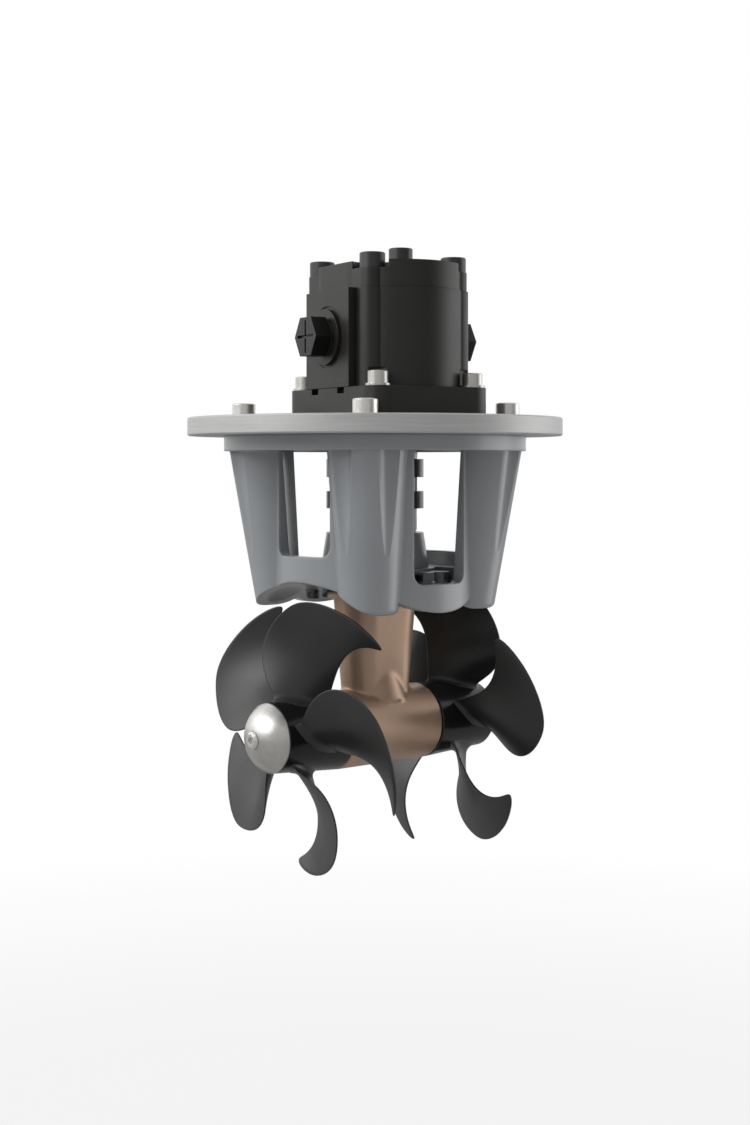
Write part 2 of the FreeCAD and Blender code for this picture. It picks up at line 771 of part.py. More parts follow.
def shaftEnds():
    # Bearings, covers and seals at both ends of the torpedo.
    for name, side, turn in (("near", -1, alongMinusX), ("far", 1, alongX)):
        reach = get("torpedoHalfLength") - get("bearingCoverThickness")
        bearingStart = reach - get("propellerBearingWidth")
        ring(name + "_shaft_bearing", get("propellerBearingRadius"), get("propellerShaftRadius") + fit,
             get("propellerBearingWidth"), x=bearingStart * side, z=shaftZ, turn=turn)
        seal = get("propellerShaftRadius") + get("sealWidth")
        ring(name + "_bearing_cover", get("propellerBearingRadius"), seal + fit,
             get("bearingCoverThickness"), x=reach * side, z=shaftZ, turn=turn)
        ring(name + "_shaft_seal", seal, get("propellerShaftRadius") + fit, get("sealWidth"),
             x=reach * side, z=shaftZ, turn=turn)


def outward(solid):
    # Turns a solid that came out inside out.
    if solid.Volume < 0:
        solid.reverse()
    return solid


def bevelGear(label, teeth, ownPitch, otherPitch, boreRadius, hubLength, turn, firstAngle):
    # A straight bevel gear about Z, with its cone's apex at the origin and its teeth on a cone.
    module = number("gearModule")
    own, other = ownPitch.value, otherPitch.value
    distance = math.hypot(own, other)
    coneAngle = math.atan2(own, other)
    addendum = number("toothAddendum") * module
    dedendum = number("toothDedendum") * module
    halfTooth = math.pi * module / 4 - number("gearBacklash")
    flank = math.tan(math.radians(number("toothPressureAngle")))

    def corner(scale, rise, offset, middle):
        # A point of the flat tooth section, scaled towards the apex of the cone.
        radius = own + rise * math.cos(coneAngle)
        height = other - rise * math.sin(coneAngle)
        return FreeCAD.Vector(radius * math.cos(middle) - offset * math.sin(middle),
                              radius * math.sin(middle) + offset * math.cos(middle), height) * scale

    inside = 1 - number("gearFaceWidth") / distance
    tip = halfTooth - addendum * flank
    root = halfTooth + dedendum * flank
    low = -dedendum * 1.3
    profile = [(low, -root), (-dedendum, -root), (0, -halfTooth), (addendum, -tip),
               (addendum, tip), (0, halfTooth), (-dedendum, root), (low, root)]
    rootOuter = corner(1, -dedendum, 0, 0)
    rootInner = corner(inside, -dedendum, 0, 0)
    blank = Part.makeCone(rootInner.x, rootOuter.x, rootOuter.z - rootInner.z,
                          FreeCAD.Vector(0, 0, rootInner.z), AXIS_Z)
    hub = Part.makeCylinder(rootOuter.x - number("gearHubStep"), other + hubLength - rootOuter.z,
                            FreeCAD.Vector(0, 0, rootOuter.z), AXIS_Z)
    solids = []
    for index in range(teeth):
        middle = math.radians(firstAngle) + 2 * math.pi * index / teeth
        wires = []
        for scale in (inside, 1):
            corners = [corner(scale, rise, offset, middle) for rise, offset in profile]
            wires.append(Part.makePolygon(corners + corners[:1]))
        solids.append(outward(Part.makeLoft(wires, True, True)))
    gear = blank.fuse([hub] + solids).removeSplitter()
    gear = gear.cut(Part.makeCylinder(boreRadius, other * 4, FreeCAD.Vector(0, 0, -other), AXIS_Z))
    item = doc.addObject("Part::Feature", "BevelGear")
    item.Shape = gear
    item.Placement = FreeCAD.Placement(FreeCAD.Vector(0, 0, shaftZ.value), turn)
    bind(item, "Placement.Base.z", shaftZ)
    return finish(item, label)


def bevelPair():
    shaft = number("propellerShaftRadius") + number("runningFit")
    bevelGear("bevel_pinion", int(number("pinionTeeth")), pinionPitch, gearPitch,
              number("driveShaftRadius") + number("runningFit"), number("gearHubLength"),
              FreeCAD.Rotation(), 0)
    # A tooth of the pinion meets a gap of the gear on the side of positive X.
    halfStep = 180 / number("gearTeeth")
    bevelGear("bevel_gear", int(number("gearTeeth")), gearPitch, pinionPitch, shaft,
              number("gearHubLength"), alongX, 180 + halfStep)


def driveShaft():
    radius = get("driveShaftRadius")
    bottom = lowBearingZ - get("driveShaftTail")
    top = elementBottom - get("driveShaftEdge")
    turned("drive_shaft", [(0, bottom), (radius, bottom), (radius, top - get("driveShaftEdge")),
                           (radius - get("driveShaftEdge"), top), (0, top)])


def coupling():
    bore = get("driveShaftRadius") + fit
    flange = get("couplingRadius")
    turned("coupling_lower_half",
           [(bore, neckBottom), (get("couplingNeckRadius") - get("couplingEdge"), neckBottom),
            (get("couplingNeckRadius"), neckBottom + get("couplingEdge")),
            (get("couplingNeckRadius"), lowerFlangeBottom),
            (flange, lowerFlangeBottom), (flange, elementBottom), (bore, elementBottom)])
    ring("coupling_element", get("elementRadius"), get("elementBore"), get("elementDepth"), z=elementBottom)
    motorBore = get("motorShaftRadius") + fit
    hubTop = upperFlangeTop + get("upperHubLength")
    turned("coupling_upper_half",
           [(motorBore, upperFlangeBottom), (flange, upperFlangeBottom), (flange, upperFlangeTop),
            (get("couplingHubRadius"), upperFlangeTop), (get("couplingHubRadius"), hubTop),
            (motorBore, hubTop)])
    pins = []
    for x, y in onCircle(get("couplingPinCircle"), range(49, 409, 60)):
        pins.append(cylinder(get("couplingPinRadius"), get("elementDepth"), x, y, elementBottom))
    finish(group(pins), "coupling_pins")


def propellerShaft():
    reach = get("torpedoHalfLength") + get("hubGap") + get("hubLength")
    shoulder = reach - get("nutPocketDepth")
    end = reach - get("threadInset")
    radius, thread = get("propellerShaftRadius"), get("threadRadius")
    shaft = turned(None, [(0, -end), (thread, -end), (thread, -shoulder), (radius, -shoulder),
                          (radius, shoulder), (thread, shoulder), (thread, end), (0, end)],
                   z=shaftZ, turn=alongX)
    holes = []
    for side in (-1, 1):
        holes.append(cylinder(get("drivePinRadius") + fit, radius * 2, y=-radius,
                              x=get("drivePinStation") * side, z=shaftZ,
                              turn=alongY))
        holes.append(cylinder(get("anodeScrewRadius") + fit, get("anodeScrewDepth"),
                              x=end * side, z=shaftZ, turn=alongMinusX if side > 0 else alongX))
    finish(cut(shaft, *holes), "propeller_shaft")


def bladeSection(share):
    # One closed wire of the blade, wrapped on a cylinder about the propeller's axis.
    root, tip = number("hubEndRadius"), number("bladeTipRadius")
    radius = root + share * (tip - root)

    def through(first, middle, last):
        # A parabola through the values at the root, half way and at the tip.
        return (first * (1 - share) * (1 - 2 * share) + middle * 4 * share * (1 - share)
                + last * share * (2 * share - 1))

    chord = through(number("bladeRootChord"), number("bladeMidChord"), number("bladeTipChord"))
    roundStart = tip - number("bladeTipRound")
    rounding = max(0.0, (radius - roundStart) / (tip - roundStart))
    chord = chord * math.sqrt(1 - rounding ** 7)
    skew = math.radians(through(0, number("bladeMidSkew"), number("bladeTipSkew")))
    rake = through(0, number("bladeMidRake"), number("bladeTipRake"))
    pitch = number("bladeRootPitch") + share * (number("bladeTipPitch") - number("bladeRootPitch"))
    slope = math.atan2(pitch, radius)
    middleThickness = (number("bladeRootThickness")
                       + share * (number("bladeTipThickness") - number("bladeRootThickness"))) / 2
    edgeThickness = number("bladeEdgeThickness") / 2
    sides = []
    for side in (1, -1):
        points = []
        for index in range(9):
            along = -1 + index / 4
            thick = side * (edgeThickness + (middleThickness - edgeThickness) * (1 - along ** 2))
            axial = rake + along * chord / 2 * math.sin(slope) + thick * math.cos(slope)
            angle = skew + (thick * math.sin(slope) - along * chord / 2 * math.cos(slope)) / radius
            points.append(FreeCAD.Vector(-axial, -radius * math.sin(angle), radius * math.cos(angle)))
        curve = Part.BSplineCurve()
        curve.interpolate(points)
        sides.append((curve.toShape(), points))
    (upper, upperPoints), (lower, lowerPoints) = sides
    front = Part.LineSegment(upperPoints[-1], lowerPoints[-1]).toShape()
    back = Part.LineSegment(lowerPoints[0], upperPoints[0]).toShape()
    return Part.Wire([upper, front, lower, back]), Part.makeRuledSurface(upper, lower)


def bladeSolid(shares):
    # The skin through all sections, closed by a ruled face at the root and one at the tip.
    sections = [bladeSection(share) for share in shares]
    skin = Part.makeLoft([wire for wire, cap in sections], False, False)
    shell = Part.makeShell(skin.Faces + [sections[0][1], sections[-1][1]])
    shell.sewShape()
    return outward(Part.makeSolid(shell))


def propeller(label, turn):
    root, tip = number("hubEndRadius"), number("bladeTipRadius")
    buried = -number("bladeBuried") / (tip - root)
    shares = (buried, 0.08, 0.25, 0.45, 0.65, 0.82, 0.9, 0.95, 0.98, 0.996)
    blade = bladeSolid(shares)
    inner = number("torpedoHalfLength") + number("hubGap")
    outer = inner + number("hubLength")
    station = number("bladeStation")
    blade.translate(FreeCAD.Vector(-station, 0, 0))
    hub = Part.makeCone(number("hubRootRadius"), number("hubEndRadius"), outer - inner,
                        FreeCAD.Vector(-inner, 0, 0), -AXIS_X)
    blades = []
    for index in range(int(number("bladeCount"))):
        copy = blade.copy()
        angle = number("bladeFirstAngle") + 360 / number("bladeCount") * index
        copy.rotate(FreeCAD.Vector(), AXIS_X, angle)
        blades.append(copy)
    fitRadius = number("runningFit")
    shape = hub.fuse(blades)
    bore = Part.makeCylinder(number("propellerShaftRadius") + fitRadius, outer,
                             FreeCAD.Vector(0, 0, 0), -AXIS_X)
    pocket = Part.makeCylinder(number("nutPocketRadius"), number("nutPocketDepth"),
                               FreeCAD.Vector(-outer, 0, 0), AXIS_X)
    pinHalf = number("drivePinRadius") + fitRadius
    slotEnd = number("drivePinStation") + pinHalf
    slotLength = number("drivePinHalfLength") + number("pinSlotSpare")
    slot = Part.makeBox(slotEnd - inner, slotLength * 2, pinHalf * 2,
                        FreeCAD.Vector(-slotEnd, -slotLength, -pinHalf))
    slot.rotate(FreeCAD.Vector(), AXIS_X, -turn)
    item = doc.addObject("Part::Feature", "Propeller")
    item.Shape = shape.cut([bore, pocket, slot])
    half = FreeCAD.Rotation(AXIS_Z, 180) if turn else FreeCAD.Rotation()
    item.Placement = FreeCAD.Placement(FreeCAD.Vector(0, 0, shaftZ.value),
                                       half.multiply(FreeCAD.Rotation(AXIS_X, turn)))
    bind(item, "Placement.Base.z", shaftZ)
    return finish(item, label)


def propellerFastenings():
    reach = get("torpedoHalfLength") + get("hubGap") + get("hubLength")
    pins = []
    nuts = []
    screws = []
    for name, side in (("near", -1), ("far", 1)):
        turn = alongX if side > 0 else alongMinusX
        pins.append(cylinder(get("drivePinRadius"), get("drivePinHalfLength") * 2,
                             x=get("drivePinStation") * side, y=-get("drivePinHalfLength"), z=shaftZ,
                             turn=alongY))
        nutStart = reach - get("nutPocketDepth")
        nut = hexagon(get("nutAcross"), get("nutHeight"), x=nutStart * side, z=shaftZ, turn=turn)
        nuts.append(cut(nut, cylinder(get("threadRadius") + fit, get("nutHeight"), x=nutStart * side,
                                      z=shaftZ, turn=turn)))
        high, wide = get("anodeHeight"), get("hubEndRadius")
        ball = (wide * wide + high * high) / (high * 2)
        dome = common(sphere(ball, x=(reach + high - ball) * side, z=shaftZ),
                      cylinder(wide, high, x=reach * side, z=shaftZ, turn=turn))
        seat = reach + high - get("anodeScrewHeadHeight") / 2
        dome = cut(dome, cylinder(get("anodeScrewRadius") + fit, high, x=reach * side, z=shaftZ, turn=turn),
                   cylinder(get("anodeScrewHead") + fit, high, x=seat * side, z=shaftZ, turn=turn))
        finish(dome, name + "_anode")
        length = seat - reach + get("anodeScrewDepth")
        shank = cylinder(get("anodeScrewRadius"), length, x=(seat - length) * side, z=shaftZ, turn=turn)
        head = cone(get("anodeScrewHead"), get("anodeScrewTop"), get("anodeScrewHeadHeight"),
                    x=seat * side, z=shaftZ, turn=turn)
        socketStart = seat + get("anodeScrewHeadHeight") / 3
        socket = hexagon(get("anodeScrewSocket"), get("anodeScrewHeadHeight"), x=socketStart * side,
                         z=shaftZ, turn=turn)
        screws.append(cut(fuse(shank, head), socket))
    finish(group(pins), "drive_pins")
    finish(group(nuts), "propeller_nuts")
    finish(group(screws), "anode_screws")


motorMiddle = -get("gearCentres") / 2
flangeTop = plateTop + get("flangeThickness")
bodyTop = flangeTop + get("bodyHeight")
coverTop = bodyTop + get("coverHeight")
portZ = plateTop + get("portHeight")
gearTip = get("gearCentres") / 2 + get("gearCentres") / get("motorGearTeeth") * get("toothAddendum")
cavityBore = gearTip + get("motorGearClearance")


def stadium(radius, height, z):
    # Two round ends about the two gear axes, joined by a straight middle.
    return fuse(cylinder(radius, height, z=z), cylinder(radius, height, y=-get("gearCentres"), z=z),
                box(asSize(radius) * 2, get("gearCentres"), height, y=motorMiddle, z=z))


def gearBores(radius, height, z):
    return [cylinder(radius, height, z=z), cylinder(radius, height, y=-get("gearCentres"), z=z)]


def motorFlange():
    plate = box(get("flangeWide"), get("flangeLong"), get("flangeThickness"), y=motorMiddle, z=plateTop)
    plate = rounded(plate, number("flangeCorner"), isUpright)
    pilot = cylinder(get("pilotRadius") - fit, get("pilotDepth"), z=plateTop - get("pilotDepth"))
    tools = [cylinder(get("motorShaftRadius") + get("boreRelief"), get("flangeThickness") + get("pilotDepth"),
                      z=plateTop - get("pilotDepth")),
             cylinder(get("motorSealRadius") + fit, get("sealWidth"), z=plateTop - get("pilotDepth"))]
    tools += gearBores(get("journalRadius") + get("boreRelief"), get("flangeThickness") / 2,
                       flangeTop - get("flangeThickness") / 2)
    tools += flangeScrewHoles(plateTop, get("flangeThickness"))
    for sideX in (-1, 1):
        for sideY in (-1, 1):
            tools.append(box(get("pryDepth") * 2, get("pryWidth"), get("pryHeight"),
                             get("flangeWide") / 2 * sideX, motorMiddle + get("prySpread") / 2 * sideY,
                             flangeTop - get("pryHeight")))
    finish(motorTurned(cut(fuse(plate, pilot), *tools)), "motor_flange")
    ring("motor_shaft_seal", get("motorSealRadius"), get("motorShaftRadius") + fit, get("sealWidth"),
         z=plateTop - get("pilotDepth"))


def motorBody():
    reach = get("portFaceReach")
    lugs = [cylinder(get("bodyLugRadius"), get("bodyHeight"), x, y, flangeTop) for x, y in coverCorners()]
    block = fuse(stadium(get("bodyRadius"), get("bodyHeight"), flangeTop),
                 box(reach * 2, get("portFaceWidth"), get("bodyHeight"), y=motorMiddle, z=flangeTop), *lugs)
    collars = []
    tools = gearBores(cavityBore, get("bodyHeight"), flangeTop)
    for side, turn in ((-1, alongMinusX), (1, alongX)):
        collars.append(cylinder(get("portCollarRadius"), get("portCollarHeight"), x=reach * side,
                                y=motorMiddle, z=portZ, turn=turn))
        depth = get("portGrooveDepth")
        outer, inner = [cylinder(radius, depth * 2, x=(reach - depth) * side, y=motorMiddle, z=portZ,
                                 turn=turn)
                        for radius in (get("portGrooveRadius"), get("portCollarRadius"))]
        tools.append(cut(outer, inner))
        tools.append(cylinder(get("portRadius") + fit, reach, x=get("portCollarHeight") * side,
                              y=motorMiddle, z=portZ, turn=turn))
    for x, y in coverCorners():
        tools.append(cylinder(get("coverScrewRadius") + fit, get("coverScrewDepth"), x, y,
                              bodyTop - get("coverScrewDepth")))
    for x, y in flangeCorners():
        tools.append(cylinder(get("screwPocketRadius"), get("screwPocketHeight"), x, y, flangeTop))
    finish(motorTurned(cut(fuse(block, *collars), *tools)), "motor_body")


def coverCorners():
    for sideX in (-1, 1):
        for sideY in (-1, 1):
            yield (get("coverScrewWide") / 2 * sideX,
                   get("coverScrewLong") / 2 * sideY + motorMiddle)


def motorEndCover():
    height = get("coverHeight") + get("coverRise")
    corners = list(coverCorners())
    flat = get("coverScrewWide") / 2 + get("coverLugRadius")
    block = fuse(stadium(get("coverRadius"), height, bodyTop),
                 box(flat * 2, get("coverScrewLong"), height, y=motorMiddle, z=bodyTop))
    pockets = [cylinder(get("coverPocketRadius"), height, x, y, coverTop) for x, y in corners]
    lugs = [cylinder(get("coverLugRadius"), get("coverHeight"), x, y, bodyTop) for x, y in corners]
    bossX, bossY = corners[-1]
    tall = get("coverHeight") + get("raisedScrewBoss")
    boss = cylinder(get("coverLugRadius"), tall, bossX, bossY, bodyTop)
    holes = [cylinder(get("coverScrewRadius") + fit, tall, x, y, bodyTop) for x, y in corners]
    journals = gearBores(get("journalRadius") + get("boreRelief"), get("coverHeight") / 2, bodyTop)
    cover = fuse(cut(block, *pockets), boss, *lugs)
    finish(motorTurned(cut(cover, *(holes + journals))), "motor_end_cover")


def motorFasteners():
    screws = []
    washers = []
    seat = flangeTop + get("washerThickness")
    radius = get("flangeScrewRadius")
    length = get("washerThickness") + get("flangeThickness") + get("flangeScrewDepth")
    for x, y in flangeCorners():
        screws.append(socketScrew(radius, get("flangeScrewHead"), radius * 2, length,
                                  get("flangeScrewSocket"), x, y, seat))
        disc = cylinder(get("flangeWasherRadius"), get("washerThickness"), x, y, flangeTop)
        washers.append(cut(disc, cylinder(radius + fit, get("washerThickness"), x, y, flangeTop)))
    finish(motorTurned(group(screws)), "motor_flange_screws")
    finish(motorTurned(group(washers)), "motor_flange_washers")
    radius = get("coverScrewRadius")
    rises = (0, 0, 0, get("raisedScrewBoss"))
    screws = []
    for (x, y), rise in zip(coverCorners(), rises):
        length = get("coverHeight") + rise + get("coverScrewDepth") - get("boreRelief")
        screws.append(socketScrew(radius, get("coverScrewHead"), radius * 2, length,
                                  get("coverScrewSocket"), x, y, coverTop + rise))
    finish(motorTurned(group(screws)), "end_cover_screws")


def portPlugs():
    seals = []
    face = get("portFaceReach") + get("portCollarHeight")
    seat = face + get("plugSealThickness")
    barrelEnd = seat + get("plugBarrelLength")
    hexEnd = barrelEnd + get("plugHexLength")
    for name, side, turn in (("left", -1, alongMinusX), ("right", 1, alongX)):
        length = get("plugThreadLength") + get("plugSealThickness")
        thread = cylinder(get("portRadius"), length, x=(seat - length) * side, y=motorMiddle,
                          z=portZ, turn=turn)
        barrel = cylinder(get("plugBarrelRadius"), get("plugBarrelLength"), x=seat * side, y=motorMiddle,
                          z=portZ, turn=turn)
        head = hexagon(get("plugAcross"), get("plugHexLength"), x=barrelEnd * side, y=motorMiddle, z=portZ,
                       turn=turn.multiply(FreeCAD.Rotation(AXIS_Z, 30)))
        slots = []
        width, across = get("plugSlotWidth"), get("plugSlotLength")
        middle = (hexEnd - width / 2) * side
        slots.append(box(width, width, across, middle, motorMiddle, portZ - across / 2))
        slots.append(box(width, across, width, middle, motorMiddle, portZ - width / 2))
        finish(motorTurned(cut(fuse(thread, barrel, head), *slots)), "port_plug_" + name)
        disc = cylinder(get("plugSealRadius"), get("plugSealThickness"), x=face * side, y=motorMiddle,
                        z=portZ, turn=turn)
        seals.append(cut(disc, cylinder(get("portRadius") + fit, get("plugSealThickness"), x=face * side,
                                        y=motorMiddle, z=portZ, turn=turn)))
    finish(motorTurned(group(seals)), "port_seals")


def bushBlocks():
    outer = cavityBore - fit
    for name, z in (("lower", flangeTop), ("upper", bodyTop - get("bushLength"))):
        block = fuse(*gearBores(outer, get("bushLength"), z))
        finish(motorTurned(cut(block, *gearBores(get("journalRadius") + fit, get("bushLength"), z))),
               name + "_bush_block")


def spurGear(teeth, radius, low, high, firstAngle, centreY):
    # A spur gear with involute flanks, as one plain solid.
    module = 2 * radius / teeth
    base = radius * math.cos(math.radians(number("toothPressureAngle")))
    tipRadius = radius + number("toothAddendum") * module
    rootRadius = radius - number("toothDedendum") * module
    halfAtPitch = math.pi / (2 * teeth) - number("motorGearBacklash") / radius

    def involute(at):
        turn = math.acos(min(1.0, base / at))
        return math.tan(turn) - turn

    corners = []
    for index in range(teeth):
        middle = math.radians(firstAngle) + 2 * math.pi * index / teeth
        flank = []
        for share in range(5):
            at = base + (tipRadius - base) * share / 4
            flank.append((at, halfAtPitch + involute(radius) - involute(at)))
        flank.insert(0, (rootRadius, flank[0][1]))
        for at, half in flank:
            corners.append((at, middle - half))
        for at, half in reversed(flank):
            corners.append((at, middle + half))
    points = [FreeCAD.Vector(at * math.cos(angle), at * math.sin(angle) + centreY, low)
              for at, angle in corners]
    face = Part.Face(Part.makePolygon(points + points[:1]))
    return face.extrude(FreeCAD.Vector(0, 0, high - low))


def motorGears():
    radius = number("gearCentres") / 2
    teeth = int(number("motorGearTeeth"))
    clearance = number("motorGearClearance")
    low = flangeTop.value + number("bushLength") + clearance
    high = bodyTop.value - number("bushLength") - clearance
    journal = number("journalRadius")
    bottom = flangeTop.value - number("flangeThickness") / 2 + 1
    top = bodyTop.value + number("coverHeight") / 2 - 1
    shaftEnd = upperFlangeBottom.value + 1
    halfStep = 180 / teeth
    drive = spurGear(teeth, radius, low, high, -90, 0)
    drive = drive.fuse([Part.makeCylinder(journal, top - bottom, FreeCAD.Vector(0, 0, bottom), AXIS_Z),
                        Part.makeCylinder(number("motorShaftRadius"), bottom - shaftEnd,
                                          FreeCAD.Vector(0, 0, shaftEnd), AXIS_Z)])
    idlerY = -number("gearCentres")
    idler = spurGear(teeth, radius, low, high, 90 + halfStep, idlerY)
    idler = idler.fuse([Part.makeCylinder(journal, top - bottom, FreeCAD.Vector(0, idlerY, bottom), AXIS_Z)])
    for shape, label in ((drive, "motor_drive_gear"), (idler, "motor_idler_gear")):
        item = doc.addObject("Part::Feature", "MotorGear")
        item.Shape = shape
        finish(motorTurned(item), label)


adapterPlate()
motorBracket()
bracketBolts()
tunnelBolts()
sealHousing()
legBolts()
gearLeg()
driveBearings()
shaftEnds()
motorFlange()
motorBody()
motorEndCover()
motorFasteners()
portPlugs()
bushBlocks()
motorGears()
coupling()
driveShaft()
bevelPair()
propellerShaft()
propeller("near_propeller", 0)
propeller("far_propeller", number("farPropellerTurn"))
propellerFastenings()

doc.recompute()
for item in doc.Objects:
    if "Invalid" in item.State or "Error" in item.State:
        raise RuntimeError("%s failed: %s" % (item.Label, item.State))
for item in parts:
    if item.Shape.isNull() or not item.Shape.isValid():
        raise RuntimeError("%s has no valid shape" % item.Label)
os.makedirs("parts", exist_ok=True)
for item in parts:
    item.Shape.exportStep("parts/%s.step" % item.Label)
    print("%s: %d solids, %.1f mm3" % (item.Label, len(item.Shape.Solids), item.Shape.Volume))
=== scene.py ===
import math

import bmesh
import bpy
import numpy as np
from mathutils import Matrix, Vector


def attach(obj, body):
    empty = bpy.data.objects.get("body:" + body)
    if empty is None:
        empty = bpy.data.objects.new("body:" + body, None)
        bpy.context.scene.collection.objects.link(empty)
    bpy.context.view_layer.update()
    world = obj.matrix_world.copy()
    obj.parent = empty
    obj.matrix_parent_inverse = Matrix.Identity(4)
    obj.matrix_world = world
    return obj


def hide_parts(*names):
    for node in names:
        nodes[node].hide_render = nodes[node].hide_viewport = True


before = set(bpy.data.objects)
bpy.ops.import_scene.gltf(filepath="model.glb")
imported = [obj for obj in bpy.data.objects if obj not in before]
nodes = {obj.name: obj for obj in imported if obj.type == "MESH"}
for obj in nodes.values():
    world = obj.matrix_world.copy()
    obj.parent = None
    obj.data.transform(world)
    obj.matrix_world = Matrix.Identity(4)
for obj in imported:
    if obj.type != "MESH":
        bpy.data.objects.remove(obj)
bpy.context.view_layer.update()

shaftHeight = -0.0982  # the propeller shaft hangs this far below the saddle's crown
motorTurn = Matrix.Rotation(math.radians(-10.5), 4, "Z")
motorMiddle = -0.0157
print("frame loaded:", len(nodes), "nodes")


def tone(red, green, blue):
    shades = []
    for value in (red, green, blue):
        value = value / 255
        shades.append(value / 12.92 if value <= 0.04045 else ((value + 0.055) / 1.055) ** 2.4)
    return (*shades, 1.0)


def addNode(tree, kind, **inputs):
    node = tree.nodes.new(kind)
    for word, value in inputs.items():
        setInput(tree, node, word, value)
    return node


def setInput(tree, node, word, value):
    socket = node.inputs[word]
    if isinstance(value, bpy.types.NodeSocket):
        tree.links.new(value, socket)
    else:
        socket.default_value = value


def mathNode(tree, operation, first, second=0.0):
    node = tree.nodes.new("ShaderNodeMath")
    node.operation = operation
    for socket, value in zip(node.inputs, (first, second)):
        if isinstance(value, bpy.types.NodeSocket):
            tree.links.new(value, socket)
        else:
            socket.default_value = value
    return node.outputs[0]


def remap(tree, value, low, high, newLow, newHigh):
    node = tree.nodes.new("ShaderNodeMapRange")
    tree.links.new(value, node.inputs["Value"])
    for word, number in zip(("From Min", "From Max", "To Min", "To Max"), (low, high, newLow, newHigh)):
        setInput(tree, node, word, number)
    return node.outputs[0]


def newGroup(name, kind, inputs, outputs):
    tree = bpy.data.node_groups.new(name, kind)
    for word, socketType, value in inputs:
        socket = tree.interface.new_socket(name=word, in_out="INPUT", socket_type=socketType)
        if value is not None:
            socket.default_value = value
    for word, socketType in outputs:
        tree.interface.new_socket(name=word, in_out="OUTPUT", socket_type=socketType)
    return tree, tree.nodes.new("NodeGroupInput"), tree.nodes.new("NodeGroupOutput")


def makeSoftEdge():
    # rounds every edge in the shading and gives a mask of the edges, where wear and a painted highlight
    # lighten them
    tree, start, end = newGroup("softEdge", "ShaderNodeTree",
                                [("Radius", "NodeSocketFloat", 0.0008), ("Wear", "NodeSocketFloat", 1.0)],
                                [("Normal", "NodeSocketVector"), ("Edge", "NodeSocketFloat")])
    bevel = addNode(tree, "ShaderNodeBevel", Radius=start.outputs["Radius"])
    bevel.samples = 6
    geometry = tree.nodes.new("ShaderNodeNewGeometry")
    dot = tree.nodes.new("ShaderNodeVectorMath")
    dot.operation = "DOT_PRODUCT"
    tree.links.new(bevel.outputs[0], dot.inputs[0])
    tree.links.new(geometry.outputs["Normal"], dot.inputs[1])
    away = mathNode(tree, "SUBTRACT", 1.0, dot.outputs["Value"])
    coordinate = tree.nodes.new("ShaderNodeTexCoord")
    noise = addNode(tree, "ShaderNodeTexNoise", Vector=coordinate.outputs["Object"], Scale=160.0, Detail=3.0)
    broken = remap(tree, noise.outputs["Fac"], 0.35, 0.65, 0.2, 1.0)  # the lighter edge line, partly wear and partly a painted highlight, comes in patches
    turned = remap(tree, away, 0.02, 0.22, 0.0, 1.0)  # from a slight to a clear turn
    mask = mathNode(tree, "MULTIPLY", turned, broken)
    mask = mathNode(tree, "MULTIPLY", mask, start.outputs["Wear"])
    tree.links.new(bevel.outputs[0], end.inputs["Normal"])
    tree.links.new(mask, end.inputs["Edge"])
    return tree


def makeCastSkin():
    # fine pits over slow patches, as on a sand casting or its paint
    tree, start, end = newGroup("castSkin", "ShaderNodeTree",
                                [("Fine Scale", "NodeSocketFloat", 900.0),
                                 ("Patch Scale", "NodeSocketFloat", 25.0)],
                                [("Shade", "NodeSocketFloat"), ("Height", "NodeSocketFloat")])
    coordinate = tree.nodes.new("ShaderNodeTexCoord")
    fine = addNode(tree, "ShaderNodeTexNoise", Vector=coordinate.outputs["Object"],
                   Scale=start.outputs["Fine Scale"], Detail=4.0, Roughness=0.6)
    patch = addNode(tree, "ShaderNodeTexNoise", Vector=coordinate.outputs["Object"],
                    Scale=start.outputs["Patch Scale"], Detail=2.0, Roughness=0.5)
    shade = mathNode(tree, "ADD", mathNode(tree, "MULTIPLY", fine.outputs["Fac"], 0.4),
                     mathNode(tree, "MULTIPLY", patch.outputs["Fac"], 0.6))
    tree.links.new(shade, end.inputs["Shade"])
    tree.links.new(fine.outputs["Fac"], end.inputs["Height"])
    return tree


def makeBrushLines():
    # long thin scratches along one direction, as on turned or brushed metal
    tree, start, end = newGroup("brushLines", "ShaderNodeTree",
                                [("Stretch", "NodeSocketVector", (30.0, 1500.0, 1500.0)),
                                 ("Contrast", "NodeSocketFloat", 1.0)],
                                [("Shade", "NodeSocketFloat"), ("Height", "NodeSocketFloat")])
    coordinate = tree.nodes.new("ShaderNodeTexCoord")
    mapping = tree.nodes.new("ShaderNodeMapping")
    tree.links.new(coordinate.outputs["Object"], mapping.inputs["Vector"])
    tree.links.new(start.outputs["Stretch"], mapping.inputs["Scale"])
    noise = addNode(tree, "ShaderNodeTexNoise", Vector=mapping.outputs[0], Scale=1.0, Detail=5.0,
                    Roughness=0.7)
    spread = mathNode(tree, "MULTIPLY", mathNode(tree, "SUBTRACT", noise.outputs["Fac"], 0.5),
                      start.outputs["Contrast"])
    tree.links.new(mathNode(tree, "ADD", spread, 0.5), end.inputs["Shade"])
    tree.links.new(noise.outputs["Fac"], end.inputs["Height"])
    return tree


softEdge = makeSoftEdge()
castSkin = makeCastSkin()
brushLines = makeBrushLines()


def useGroup(tree, group, **inputs):
    node = tree.nodes.new("ShaderNodeGroup")
    node.node_tree = group
    for word, value in inputs.items():
        setInput(tree, node, word, value)
    return node


def mixTones(tree, factor, first, second):
    node = tree.nodes.new("ShaderNodeMix")
    node.data_type = "RGBA"
    for socket, value in zip((node.inputs[0], node.inputs[6], node.inputs[7]), (factor, first, second)):
        if isinstance(value, bpy.types.NodeSocket):
            tree.links.new(value, socket)
        else:
            socket.default_value = value
    return node.outputs[2]


shadeSpan = (0.3, 0.7)  # the part of the noise that changes tone and gloss
bumpDepth = 0.0002


